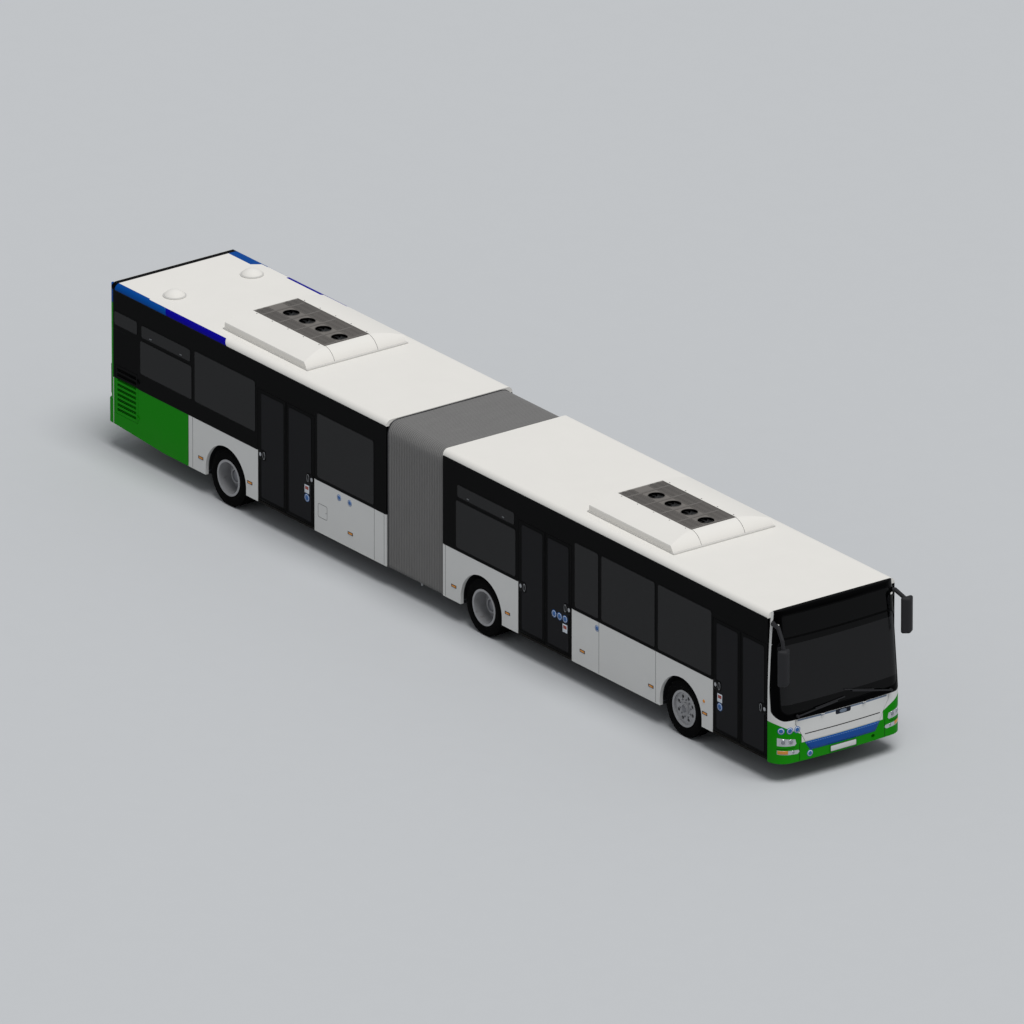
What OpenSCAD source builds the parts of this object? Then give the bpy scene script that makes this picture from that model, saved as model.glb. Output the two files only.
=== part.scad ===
// Articulated low-floor city bus: a front body on two axles, a rear body on one,
// a turntable and a bellows between them, and three double doors on the right.
// X points forward, Y to the left and Z up. The origin is on the ground, midway along the length.

/* [Body] */
// Nose to the first axle
front_overhang = 2590; // [2300:10:2900]
// First axle to the second
wheelbase_front = 5275; // [4900:5:6400]
// Second axle to the third
wheelbase_rear = 6865; // [6400:5:8300]
// Third axle to the rear bumper
rear_overhang = 3250; // [3000:10:3900]
// Width over the side walls
body_w = 2500; // [2300:10:3000]
// Height of the roof above the ground
roof_z = 2875; // [2800:5:3450]
// Height of the skirts' lower edge
skirt_z = 370; // [320:5:380]
// Thickness of walls, roof and front mask
wall_t = 60; // [40:1:75]
// Radius of the long edges of the roof
cove_r = 100; // [80:5:160]
// Height of the cabin floor
floor_z = 410; // [400:5:460]
// Thickness of the deck
deck_t = 60; // [40:1:60]

/* [Nose and tail] */
// Radius of the nose's upright corners
nose_corner_r = 280; // [200:5:360]
// Radius of the nose's slightly bowed face
face_r = 13460; // [9000:10:20000]
// Lean of the windscreen, in degrees
lean = 5.9; // [3:0.1:8]
// Height at which the nose starts to lean back
knee_z = 1100; // [1000:5:1180]
// Height of the front bumper's lower edge
bumper_z = 345; // [320:5:370]
// Radius of the tail's upright corners
tail_corner_r = 140; // [100:5:200]
// How far the rear bumper stands out
bumper_out = 50; // [20:1:80]
// Height of the rear bumper's upper edge
bumper_top = 850; // [700:5:880]

/* [Articulation] */
// Second axle to the turntable's pin
pivot_back = 1775; // [1600:5:2000]
// Gap between the two bodies
bellows_len = 1510; // [1500:5:1700]
// Depth of the bellows' folds
fold_depth = 120; // [80:5:140]
// Radius of the turntable's floor disc
disc_r = 700; // [620:5:720]
// Radius of the turntable's pin
pin_r = 80; // [60:1:95]

/* [Doors] */
// Width of the front doorway
door_1_w = 1428; // [1200:2:1430]
// Width of the middle doorway
door_2_w = 1424; // [1200:2:1600]
// Width of the rear doorway
door_3_w = 1528; // [1200:2:1600]
// Middle of the middle doorway, ahead of the second axle
door_2_ahead = 1693; // [1600:1:1900]
// Middle of the rear doorway, ahead of the third axle
door_3_ahead = 1635; // [1500:1:1900]
// Height of the doorways' upper edge
door_top = 2330; // [2200:5:2360]
// Thickness of a door leaf
leaf_t = 45; // [35:1:50]
// Width of a leaf's side rails
stile_w = 98; // [70:1:120]
// Radius of a leaf's turning column
column_r = 18; // [14:1:22]

/* [Windows] */
// Lower edge of the tall side windows
win_low = 1325; // [1260:5:1400]
// Upper edge of the side windows
win_high = 2400; // [2300:5:2440]
// Lower edge of the short windows above the engine
win_short = 1560; // [1450:5:1650]
// Width of the posts between windows
post_w = 111; // [80:1:140]
// Width of a window's post beside a doorway
door_post = 86; // [60:1:110]
// Width of the narrow window ahead of the middle door
narrow_win = 593; // [500:1:700]
// Width of the window behind the third axle
tail_win = 1371; // [1200:1:1500]
// Width of the small window at the rear corner
small_win = 595; // [450:1:650]
// How far a pane laps over its window
glass_lap = 20; // [12:1:30]
// Thickness of the side panes
glass_t = 7.7; // [5:0.1:9.7]

/* [Wheels] */
// Radius of the tyres
tyre_r = 478; // [460:1:490]
// Width of the tyres
tyre_w = 276; // [250:1:290]
// Radius of the rims under the tyre's bead
rim_r = 290; // [270:1:300]
// First axle's track, between the wheels' middles
track_1 = 2120; // [2080:2:2130]
// Distance between the outer faces of the twin tyres
twin_span = 2420; // [2380:2:2440]
// Distance between the middles of twin tyres
twin_step = 312; // [300:1:330]
// Distance between the kingpins
kingpin_span = 1860; // [1820:2:1880]
// Radius of the wheel arches
arch_r = 550; // [535:1:560]
// Distance between the wheel housings, across the aisle
aisle_w = 1096; // [1050:2:1100]

/* [Roof units] */
// Length of an air-conditioning unit
unit_l = 2280; // [2000:10:2500]
// Width of its base flange
unit_w = 2004; // [1900:4:2100]
// Height above the roof
unit_h = 207; // [150:1:260]
// Radius of its four fan wells
fan_r = 135; // [110:1:145]
// Radius of the roof domes
dome_r = 180; // [150:1:250]

/* [Hidden] */
$fn = 64;
e = 1;                                // overshoot of cuts
seat_gap = 0.3;                       // clearance of pieces set in one another
run_clear = 0.1;                      // radial clearance of pins and bearings
win_r = 24;                           // corner radius of window and door glass
play = 6;                             // clearance round doors and lids
mirror_reach = 210;                   // mirrors stand ahead of the nose by this
half_w = body_w / 2;
inner_w = half_w - wall_t;            // inner faces of the side walls
deck_z = floor_z - deck_t;
wall_top = roof_z - cove_r - 5;
rail_z = deck_z - 50;                 // underside of the chassis rails

// Stations along the bus
body_len = front_overhang + wheelbase_front + wheelbase_rear + rear_overhang;
nose_x = (body_len - mirror_reach) / 2;
axle_1 = nose_x - front_overhang;
axle_2 = axle_1 - wheelbase_front;
axle_3 = axle_2 - wheelbase_rear;
rear_x = axle_3 - rear_overhang;
face_x = rear_x + bumper_out;         // rear face above the bumper
pivot_x = axle_2 - pivot_back;
front_end = pivot_x + bellows_len / 2;
rear_start = pivot_x - bellows_len / 2;
tail_x = face_x + tail_corner_r;      // where the tail's corners start
face_cx = nose_x - face_r;
corner_y = half_w - nose_corner_r;
corner_x = face_cx + sqrt(pow(face_r - nose_corner_r, 2) - corner_y * corner_y);
mask_x = corner_x - 7;                // rear edge of the front mask

// Doorways and windows, as [rear end, front end] along X
door_1 = [mask_x - door_1_w, mask_x];
door_2 = [axle_2 + door_2_ahead - door_2_w / 2, axle_2 + door_2_ahead + door_2_w / 2];
door_3 = [axle_3 + door_3_ahead - door_3_w / 2, axle_3 + door_3_ahead + door_3_w / 2];
bellows_post = 360;                   // wall between the bellows and the nearest window
first_post = 56;                      // post behind the front door
long_win = (door_1[0] - door_2[1] - first_post - 2 * post_w - narrow_win - door_post) / 2;
win_a = [door_1[0] - first_post - long_win, door_1[0] - first_post];
win_b = [win_a[0] - post_w - long_win, win_a[0] - post_w];
win_c = [win_b[0] - post_w - narrow_win, win_b[0] - post_w];
win_d = [front_end + bellows_post, door_2[0] - door_post];
win_e = [door_3[1] + door_post, rear_start - bellows_post];
win_h = [tail_x + 42, tail_x + 42 + small_win];
win_g = [win_h[1] + post_w, win_h[1] + post_w + tail_win];
win_f = [win_g[1] + post_w, door_3[0] - door_post];
split_z = win_high - 295;             // upper edge of a pane below a tilting pane
tilt_z = win_high - 200;              // lower edge of a tilting pane
tilt_in = 35;                         // a tilting pane is this much shorter at each end
function pane(s, low, high) = [s[0], s[1], low, high];
function tilt(s) = [s[0] + tilt_in, s[1] - tilt_in, tilt_z, win_high - 20];
front_bays = [pane(win_a, win_low, win_high), pane(win_b, win_low, win_high),
  pane(win_c, win_low, win_high), pane(win_d, win_low, split_z), tilt(win_d)];
rear_bays = [pane(win_e, win_low, win_high), pane(win_f, win_short, win_high),
  pane(win_g, win_short, split_z), tilt(win_g), pane(win_h, tilt_z, win_high)];
driver_win = [door_1[0] + 30, mask_x - 110, win_low - 150, win_high];
front_left_bays = concat(front_bays,
  [driver_win, pane([win_d[1] + post_w, win_c[0] - post_w], win_low, win_high)]);
rear_left_bays = concat(rear_bays,
  [pane([win_f[1] + post_w, win_e[0] - post_w], win_low, win_high)]);

// Doors: leaves turn about columns just inside the doorway's edges
leaf_low = floor_z + play;
leaf_high = door_top - play;
column_in = 26;                       // column's middle from the doorway's edge
column_y = -(half_w - leaf_t - column_r - 7);
glass_low = leaf_low + 70;
glass_high = leaf_high - 74;

// Wheels
twin_y = twin_span / 2 - tyre_w / 2 - twin_step / 2;   // middle plane of a pair of twins
bead_w = tyre_w / 2 - 10;             // rim's half width
barrel_t = 24;
kingpin_y = kingpin_span / 2;
kingpin_r = 22;
spindle_r = 40;
hub_r = 60;                           // stub that carries a pair of twins
front_rest = 20;                      // hub's inner face, inside the first axle's wheel middle
housing_t = 12;

// ---- Outlines ----

// Rectangle from [x0, x1, y0, y1] with rounded corners
module round_box(b, r) {
  w = b[1] - b[0];
  h = b[3] - b[2];
  translate([b[0] + r, b[2]]) square([w - 2 * r, h]);
  translate([b[0], b[2] + r]) square([w, h - 2 * r]);
  for (x = [b[0] + r, b[1] - r], y = [b[2] + r, b[3] - r]) translate([x, y]) circle(r);
}

function grow(b, g) = [b[0] - g, b[1] + g, b[2] - g, b[3] + g];

// Puts an outline drawn in X and Z at depth y and makes it t thick, towards +Y
module upright(y, t) translate([0, y + t, 0]) rotate([90, 0, 0]) linear_extrude(t) children();

// Puts an outline drawn in Y and Z at x and makes it t long, towards +X
module across(x, t) translate([x, 0, 0]) rotate([90, 0, 90]) linear_extrude(t) children();

// Cross-section of the body above z, with the roof's rounded edges, drawn in Y and Z
module body_section(inset, low) {
  r = cove_r - inset;
  w = half_w - inset;
  top = roof_z - inset;
  translate([-w, low]) square([2 * w, top - r - low]);
  translate([-w + r, low]) square([2 * w - 2 * r, top - low]);
  for (s = [-1, 1]) translate([s * (w - r), top - r]) half_disc(r);
}

// Upper half of a circle
module half_disc(r) intersection() {
  circle(r);
  translate([-r, 0]) square([2 * r, r]);
}

// Half of a hinge at a panel's edge. The axis runs along Z, hinge_out outside the panels'
// surface at X = 0. The fixed panel is on the side of +Y and the moving one on that of -Y.
hinge_out = 10;
hinge_r = 7;
hinge_l = 30;
hinge_pin_r = 3;
module hinge_fixed(depth) {
  translate([hinge_out, 0, 0]) cylinder(r = hinge_r, h = hinge_l);
  translate([-depth, 0, 0]) cube([depth + hinge_out, 36, hinge_l]);
  translate([hinge_out, 0, 0]) cylinder(r = hinge_pin_r, h = 2 * hinge_l - 4);
}
module hinge_moving(depth) difference() {
  translate([0, 0, hinge_l + seat_gap]) {
    translate([hinge_out, 0, 0]) cylinder(r = hinge_r, h = hinge_l);
    translate([-depth, -36, 0]) cube([depth + hinge_out, 36, hinge_l]);
  }
  translate([hinge_out, 0, hinge_l - e]) cylinder(r = hinge_pin_r + run_clear, h = hinge_l);
}

// ---- Side walls ----

// Opening of a wheel arch, drawn in X and Z
module arch(x, r) {
  translate([x, tyre_r]) circle(r);
  translate([x - r, 0]) square([2 * r, tyre_r]);
}

module doorway(d, over) translate([d[0], floor_z])
  square([d[1] - d[0] + over, door_top - floor_z]);

// A side wall at the right: plate with doorways, window openings and rebates for the panes
module side_wall(ends, bays, doors, arches, rise) {
  difference() {
    upright(-half_w, wall_t) difference() {
      polygon([[ends[0], skirt_z + rise], [ends[0] + 1400, skirt_z], [ends[1], skirt_z],
        [ends[1], wall_top], [ends[0], wall_top]]);
      for (d = doors) doorway(d, d[1] < ends[1] ? 0 : e);
      for (x = arches) arch(x, arch_r);
      for (b = bays) round_box(b, win_r);
    }
    upright(-half_w - e, glass_t + seat_gap + e)
      for (b = bays) round_box(grow(b, glass_lap + seat_gap), win_r + glass_lap);
  }
  for (d = doors) upright(-inner_w, 90)
    translate([d[0], door_top]) square([d[1] - d[0], 230]);
}

// Door drives hang inside the wall above each doorway, as part of it
module front_right_wall() color([0.86, 0.86, 0.84])
  side_wall([front_end, mask_x], front_bays, [door_1, door_2], [axle_1, axle_2], 0);

module front_left_wall() color([0.86, 0.86, 0.84]) mirror([0, 1, 0])
  side_wall([front_end, mask_x], front_left_bays, [], [axle_1, axle_2], 0);

module rear_right_wall() color([0.86, 0.86, 0.84]) {
  difference() {
    side_wall([tail_x, rear_start], rear_bays, [door_3], [axle_3], tail_rise);
    upright(-half_w - e, wall_t + 2 * e) round_box(grow(radiator, play), 30);
  }
  radiator_hinges() hinge_fixed(6);
}

module rear_left_wall() color([0.86, 0.86, 0.84]) mirror([0, 1, 0])
  side_wall([tail_x, rear_start], rear_left_bays, [], [axle_3], tail_rise);

tail_rise = 90;                       // skirts rise by this at the rear corners

// ---- Side panes ----

module side_panes(bays) upright(-half_w, glass_t)
  for (b = bays) round_box(grow(b, glass_lap), win_r + glass_lap);

module front_side_glass() color([0.1, 0.11, 0.12]) {
  side_panes(front_bays);
  mirror([0, 1, 0]) side_panes(front_left_bays);
}

module rear_glass() color([0.1, 0.11, 0.12]) {
  side_panes(rear_bays);
  mirror([0, 1, 0]) side_panes(rear_left_bays);
  across(face_x, glass_t) round_box(grow(rear_win, glass_lap), 80 + glass_lap);
  across(face_x, glass_t) round_box(grow(rear_sign, glass_lap), 20 + glass_lap);
}

// ---- Roofs ----

module roof_shell(x, l) across(x, l) difference() {
  body_section(0, wall_top);
  body_section(wall_t, wall_top - e);
}

module front_roof() color([0.89, 0.88, 0.86]) roof_shell(front_end, mask_x - front_end);

module rear_roof() color([0.89, 0.88, 0.86]) roof_shell(tail_x, rear_start - tail_x);

// ---- Nose ----

// Plan of the nose: bowed face in narrow flats and rounded corners, each set in by inset
module nose_plan(inset) {
  r = face_r - inset;
  half_angle = atan2(corner_y, corner_x - face_cx);
  flats = 16;
  polygon(concat([[mask_x - 200, -corner_y]],
    [for (k = [0:flats]) let (a = half_angle * (2 * k / flats - 1))
      [face_cx + r * cos(a), r * sin(a)]],
    [[mask_x - 200, corner_y]]));
  for (s = [-1, 1]) translate([corner_x, s * corner_y]) circle(nose_corner_r - inset, $fn = 256);
  translate([mask_x - 200, inset - half_w]) square([corner_x - mask_x + 200, 2 * half_w - 2 * inset]);
}

// Side view of the nose, with its rounded upper edge
module nose_profile(inset) {
  r = cove_r - inset;
  top = roof_z - inset;
  cz = top - r;
  cx = nose_x - (cove_r + (cz - knee_z) * sin(lean)) / cos(lean);
  translate([mask_x - 100, 0]) square([nose_x + 200 - mask_x, cz + r * sin(lean)]);
  translate([mask_x - 100, 0]) square([cx - mask_x + 100, top]);
  translate([cx, cz]) circle(r);
}

// Solid nose: upright up to the knee, leaning back above it, where it is set in by step more
module nose(inset, step = 0) {
  low = bumper_z - 10;
  intersection() {
    union() {
      translate([0, 0, low]) linear_extrude(knee_z - low) nose_plan(inset);
      intersection() {
        translate([nose_x, 0, knee_z]) rotate([0, -lean, 0]) translate([-nose_x, 0, -200])
          linear_extrude(2300) nose_plan(inset + step);
        translate([mask_x - 100, -half_w - e, knee_z]) cube([1000, body_w + 2 * e, roof_z]);
      }
    }
    across(mask_x - 150, 1000) body_section(inset, 0);
    upright(-half_w - e, body_w + 2 * e) nose_profile(inset);
  }
}

// Skin of the nose between two depths, ahead of x and above z
module nose_skin(outer, inner, x, z, step = 0) difference() {
  intersection() {
    nose(outer);
    translate([x, -half_w - e, z]) cube([1000, body_w + 2 * e, roof_z]);
  }
  nose(inner, step);
}

screen = [-1125, 1125, knee_z + 90, 2385];         // windscreen, as seen from ahead
sign = [-1037, 1037, 2440, 2770];                  // destination pane
screen_r = 110;
flap_top = knee_z - 45;
flap_low = 665;
plate_z = 425;                                     // middle of the front number plate
plate_size = [520, 110];
tow_y = 600;

module flap_outline(g) polygon([[-905 - 2.4 * g, flap_top + g], [905 + 2.4 * g, flap_top + g],
  [905 + 2.4 * g, flap_top - 70], [730 + g, flap_low - g], [-730 - g, flap_low - g],
  [-905 - 2.4 * g, flap_top - 70]]);

// Hinges along the flap's upper edge
module flap_hinges() for (y = [-380, 440]) translate([nose_x, y, flap_top + play / 2])
  rotate([90, 0, 0]) children();

// Outlines of the lamps at one side, upper and lower
module upper_lamp(g) polygon([[-1195 - g, 650 - g], [-930 + g, 630 - g], [-900 + g, 660],
  [-920 + g, 735 + g], [-1195 - g, 785 + g]]);
module lower_lamp(g) polygon([[-1195 - g, 505 - g], [-880, 480 - g], [-830 + g, 515],
  [-860 + g, 545 + g], [-1195 - g, 575 + g]]);

module both_sides() {
  children();
  mirror([0, 1, 0]) children();
}

module front_mask() color([0.86, 0.86, 0.84]) {
  mask_shell();
  flap_hinges() hinge_fixed(16);
}

module mask_shell() difference() {
  union() {
    nose_skin(0, wall_t, mask_x, bumper_z, 6);
    translate([nose_x - 40, -plate_size[0] / 2 - 10, plate_z - plate_size[1] / 2 - 10])
      cube([46, plate_size[0] + 20, plate_size[1] + 20]);
    translate([nose_x - 120, tow_y, plate_z]) rotate([0, 90, 0]) cylinder(r = 45, h = 80);
    both_sides() mirror_root(nose_corner_r - 40, 52, 42);
    for (w = wiper_y) translate([nose_x - 60, w, wiper_z]) rotate([0, 90, 0]) cylinder(r = 28, h = 45);
  }
  across(nose_x - 600, 700) {
    round_box(screen, screen_r);
    round_box(sign, 20);
  }
  across(nose_x - 600, 700) flap_outline(play);
  intersection() {
    nose_skin(-1, glass_t + seat_gap, mask_x + 20, 0);
    across(nose_x - 600, 700) {
      round_box(grow(screen, glass_lap + seat_gap), screen_r + glass_lap);
      round_box(grow(sign, glass_lap + seat_gap), 20 + glass_lap);
    }
  }
  both_sides() across(lamp_back - e, 400) {
    upper_lamp(seat_gap);
    lower_lamp(seat_gap);
  }
  translate([nose_x - 130, tow_y, plate_z]) rotate([0, 90, 0]) cylinder(r = tow_r, h = 200);
  translate([nose_x - 45, tow_y, plate_z]) rotate([0, 90, 0]) cylinder(r = tow_r + 15, h = 100);
}
lamp_back = corner_x + 90;            // flat backs of the headlights
lamp_depth = 35;                      // depth of the tail lights
tow_r = 20;

// Round foot of a mirror's arm on the nose's left upright corner, from a distance out of its axis
mirror_root_z = 2690;
module mirror_root(from, l, r)
  translate([corner_x - (mirror_root_z - knee_z) * tan(lean), corner_y, mirror_root_z])
    rotate([0, 90, 45]) translate([0, 0, from]) cylinder(r = r, h = l);

module front_glass() color([0.1, 0.11, 0.12]) intersection() {
  nose_skin(0, glass_t, mask_x + 20, 0);
  across(nose_x - 600, 700) {
    round_box(grow(screen, glass_lap), screen_r + glass_lap);
    round_box(grow(sign, glass_lap), 20 + glass_lap);
  }
}

module headlights() color([0.85, 0.86, 0.88]) both_sides() intersection() {
  nose(0);
  across(lamp_back, 400) {
    upper_lamp(0);
    lower_lamp(0);
  }
}

// Service flap under the windscreen, hinged along its upper edge
module front_flap() color([0.9, 0.9, 0.88]) {
  intersection() {
    nose(0);
    across(nose_x - 52, 100) flap_outline(0);
  }
  flap_hinges() hinge_moving(16);
}

// Wiper parked along the windscreen's lower edge: a spindle on the mask's boss, an arm that
// reaches inwards and a blade along its end. Tip is how far the arm's end rises.
wiper_y = [-900, 940];
wiper_z = knee_z + 35;
module wiper(y, reach, tip) {
  angle = atan2(tip, abs(reach));
  translate([nose_x - 15 + seat_gap, y, wiper_z]) rotate([0, 90, 0]) cylinder(r = 22, h = 45);
  translate([nose_x + 15, y, wiper_z]) mirror([0, reach > 0 ? 0 : 1, 0]) rotate([angle, -lean, 0]) {
    translate([0, 0, -11]) cube([12, abs(reach), 22]);
    translate([-8, abs(reach) * 0.45, 10]) cube([12, abs(reach) * 0.75, 16]);
  }
}

module wipers() color([0.06, 0.06, 0.06]) {
  wiper(wiper_y[0], 780, 75);
  wiper(wiper_y[1], -780, 175);
}

// ---- Mirrors ----

mirror_r = [nose_x + mirror_reach - 95, -1265];   // middle of the right mirror's head
mirror_l = [nose_x - 20, 1265];
module mirror_head(x, y, z, turn) translate([x, y, z]) rotate([0, 0, turn]) hull() {
  for (a = [-1, 1], b = [-1, 1]) translate([0, a * 75, b * 270]) sphere(35, $fn = 24);
  for (b = [-1, 1]) translate([35, 0, b * 250]) sphere(60, $fn = 24);
}

// Arm through a list of points, thinner towards the head
module mirror_arm(points) for (k = [0:len(points) - 2]) hull() {
  translate(points[k]) sphere(36 - 2 * k, $fn = 24);
  translate(points[k + 1]) sphere(34 - 2 * k, $fn = 24);
}

module mirrors() color([0.17, 0.17, 0.18]) {
  root_x = corner_x - (mirror_root_z - knee_z) * tan(lean);
  root_out = (nose_corner_r + 50) * cos(45);
  both_sides() mirror_root(nose_corner_r + 12 + seat_gap, 45, 36);
  mirror_arm([[root_x + root_out, -corner_y - root_out, mirror_root_z], [nose_x - 60, -1245, 2700],
    [nose_x + 75, mirror_r[1], 2530], [mirror_r[0] + 10, mirror_r[1], 2340]]);
  mirror_arm([[root_x + root_out, corner_y + root_out, mirror_root_z],
    [mirror_l[0] - 20, mirror_l[1] - 20, 2600]]);
  mirror_head(mirror_r[0], mirror_r[1], 2080, 0);
  mirror_head(mirror_l[0], mirror_l[1], 2330, 0);
}

// ---- Tail ----

rear_win = [-950, 950, 1640, 2330];
rear_sign = [330, 930, 2450, 2680];
hatch = [-800, 800, bumper_top + 50, 1540];
hatch_t = 40;
tail_lamp = [1080, 1185, bumper_top + 60, 1450];
rear_plate_z = 640;

module tail_plan(inset, shift) {
  r = tail_corner_r - inset;
  x = face_x - shift + inset;
  translate([x + r, inset - half_w]) square([tail_x + 200 - x - r, 2 * half_w - 2 * inset]);
  translate([x, inset - half_w + r]) square([tail_x + 200 - x, 2 * half_w - 2 * inset - 2 * r]);
  for (s = [-1, 1]) translate([x + r, s * (half_w - inset - r)]) circle(r);
}

// Solid tail, with the bumper standing out below
module tail(inset) intersection() {
  union() {
    translate([0, 0, skirt_z + tail_rise - 20]) linear_extrude(roof_z) tail_plan(inset, 0);
    translate([0, 0, skirt_z + tail_rise - 20])
      linear_extrude(bumper_top - inset - skirt_z - tail_rise + 20) tail_plan(inset, bumper_out);
  }
  across(rear_x - 100, 1000) body_section(inset, 0);
  upright(-half_w - e, body_w + 2 * e) {
    translate([rear_x - e, 0]) square([2000, roof_z - cove_r]);
    translate([face_x + cove_r, 0]) square([1800, roof_z + e]);
    translate([face_x + cove_r, roof_z - cove_r]) circle(cove_r - inset);
  }
}

module rear_panel() color([0.86, 0.86, 0.84]) difference() {
  union() {
    difference() {
      intersection() {
        tail(0);
        translate([rear_x - e, -half_w - e, skirt_z + tail_rise])
          cube([tail_x - rear_x + e, body_w + 2 * e, roof_z]);
      }
      tail(wall_t);
    }
    translate([rear_x + 20, -tow_y, rear_plate_z]) rotate([0, 90, 0]) cylinder(r = 45, h = 100);
    hatch_hinges() hinge_fixed(6);
  }
  across(face_x - 20, 300) {
    round_box(rear_win, 80);
    round_box(rear_sign, 20);
    round_box(grow(hatch, play), 40);
  }
  across(face_x - e, glass_t + seat_gap + e) {
    round_box(grow(rear_win, glass_lap + seat_gap), 80 + glass_lap);
    round_box(grow(rear_sign, glass_lap + seat_gap), 20 + glass_lap);
  }
  both_sides() across(face_x - 20, lamp_depth + 20 + seat_gap) round_box(grow(tail_lamp, 1), 30);
  translate([rear_x - 50, -tow_y, rear_plate_z]) rotate([0, 90, 0]) cylinder(r = tow_r, h = 300);
}

module tail_lights() color([0.6, 0.08, 0.06]) both_sides() intersection() {
  across(face_x, lamp_depth) round_box(tail_lamp, 30);
  tail(0);
}

module hatch_hinges() for (y = [-630, 570]) translate([face_x, y, hatch[3] + play / 2])
  rotate([90, 0, 180]) children();

module engine_hatch() color([0.86, 0.86, 0.84]) {
  across(face_x, hatch_t) round_box(hatch, 34);
  hatch_hinges() hinge_moving(6);
}

// Radiator door in the right side, at the rear corner
radiator = [tail_x + 60, tail_x + 60 + 610, 660, 1495];
module radiator_hinges() for (z = [radiator[2] + 80, radiator[3] - 140])
  translate([radiator[1] + play / 2, -half_w, z]) rotate([0, 0, -90]) children();

module radiator_door() color([0.1, 0.1, 0.1]) {
  difference() {
    upright(-half_w, 40) round_box(radiator, 24);
    for (k = [0:8]) upright(-half_w - e, 25 + e)
      translate([radiator[0] + 50, radiator[2] + 50 + k * 86])
        square([radiator[1] - radiator[0] - 100, 46]);
  }
  radiator_hinges() hinge_moving(6);
}

// ---- Underframes ----

// Wheel housing on the right: a half drum with its inner end closed
module housing_outline(r) {
  intersection() {
    circle(r);
    translate([-r, 0]) square([2 * r, r]);
  }
  translate([-r, deck_z - tyre_r]) square([2 * r, tyre_r - deck_z]);
}

module housing(x) translate([x, 0, tyre_r]) {
  upright(-inner_w, inner_w - aisle_w / 2) difference() {
    housing_outline(arch_r + 50);
    housing_outline(arch_r + 50 - housing_t);
    translate([-arch_r - 50 + housing_t, -tyre_r]) square([2 * (arch_r + 50 - housing_t), tyre_r]);
  }
  upright(-aisle_w / 2 - housing_t, housing_t) housing_outline(arch_r + 50);
}

module wheel_cut(x) for (s = [-1, 1]) translate([x - arch_r - 40, s > 0 ? aisle_w / 2 + 1 : -inner_w - e,
  0]) cube([2 * arch_r + 80, inner_w - aisle_w / 2 + e - 1, deck_z + 500]);

module rail(x0, x1, y) translate([x0, y - 60, rail_z]) cube([x1 - x0, 120, deck_z - rail_z + e]);

module front_underframe() color([0.2, 0.2, 0.21]) difference() {
  union() {
    difference() {
      union() {
        translate([front_end, -inner_w, deck_z]) cube([mask_x - front_end, 2 * inner_w, deck_t]);
        translate([mask_x - e, -inner_w + 250, deck_z]) cube([corner_x - mask_x + 160, 2 * inner_w - 500, deck_t]);
      }
      wheel_cut(axle_1);
      wheel_cut(axle_2);
    }
    both_sides() { housing(axle_1); housing(axle_2); }
    both_sides() rail(front_end, mask_x, 420);
    for (x = [front_end, door_2[1] - 300, door_1[0] - 300]) translate([x, -inner_w + 100, rail_z])
      cube([120, 2 * inner_w - 200, deck_z - rail_z + e]);
    bridge(front_end, 1);
    arm(front_end, rail_z, 40);
  }
  translate([pivot_x, 0, deck_z - 100]) cylinder(r = pin_r + run_clear, h = 100);
  translate([pivot_x, 0, arm_top]) cylinder(r = disc_r + play + 6, h = 200);
}
arm_top = rail_z + 40;                // upper face of the front body's arm
hoop_z = rail_z - 50;                 // underside of the hoop's lower bar

// Arm from a body's end to the pin, with a round eye
module arm(x, z, t) {
  translate([min(x, pivot_x), -240, z]) cube([abs(pivot_x - x), 480, t]);
  translate([pivot_x, 0, z]) cylinder(r = 240, h = t);
}

// Floor from a body's end towards the disc
module bridge(x, s) translate([s > 0 ? pivot_x + 200 : x - e, -500, floor_z - 25])
  cube([abs(pivot_x - x) - 200 + e, 1000, 25]);

module turntable() color([0.3, 0.3, 0.31]) {
  translate([pivot_x, 0, floor_z - 25]) cylinder(r = disc_r, h = 25);
  translate([rear_start, -500, floor_z - 25]) cube([bellows_len / 2, 1000, 25]);
  translate([rear_start, -240, arm_top + 5]) cube([bellows_len / 2, 480, floor_z - 25 - arm_top - 5 + e]);
  translate([pivot_x, 0, arm_top + 5]) cylinder(r = 240, h = floor_z - 25 - arm_top - 5 + e);
  translate([pivot_x, 0, hoop_z - 4]) cylinder(r = pin_r, h = floor_z - 30 - hoop_z);
}

bay_x = axle_3 - 1150;                // front of the engine bay
bay_z = 1000;                         // its top, the raised floor
engine_l = 1500;
tray_x = tail_x + 1500;               // tray under the engine, higher than the deck
tray_z = skirt_z + tail_rise + 5;
module rear_underframe() color([0.2, 0.2, 0.21]) {
  difference() {
    translate([tray_x, -inner_w, deck_z]) cube([rear_start - tray_x, 2 * inner_w, deck_t]);
    wheel_cut(axle_3);
  }
  translate([tail_x, -inner_w, tray_z]) cube([tray_x - tail_x, 2 * inner_w, deck_t]);
  translate([tray_x - 30, -inner_w, deck_z]) cube([40, 2 * inner_w, tray_z + deck_t - deck_z]);
  both_sides() housing(axle_3);
  both_sides() rail(tray_x, rear_start, 420);
  for (x = [rear_start - 120, door_3[1], axle_3 + 700, axle_3 - 900, tray_x])
    translate([x, -inner_w + 100, rail_z]) cube([120, 2 * inner_w - 200, deck_z - rail_z + e]);
  translate([tail_x, -inner_w, bay_z - 40]) cube([bay_x - tail_x, 2 * inner_w, 40]);
  translate([bay_x - 30, -inner_w, deck_z + e]) cube([30, 2 * inner_w, bay_z - deck_z - e]);
  translate([bay_x - e, -aisle_w / 2 + 30, deck_z + e]) cube([330, aisle_w - 60, 300]);
}

module engine() color([0.3, 0.31, 0.32])
  translate([tail_x + 80, -450, tray_z + deck_t]) cube([engine_l - 100, 1150, bay_z - 80 - tray_z - deck_t]);

// ---- Axles, knuckles and wheels ----

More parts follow.
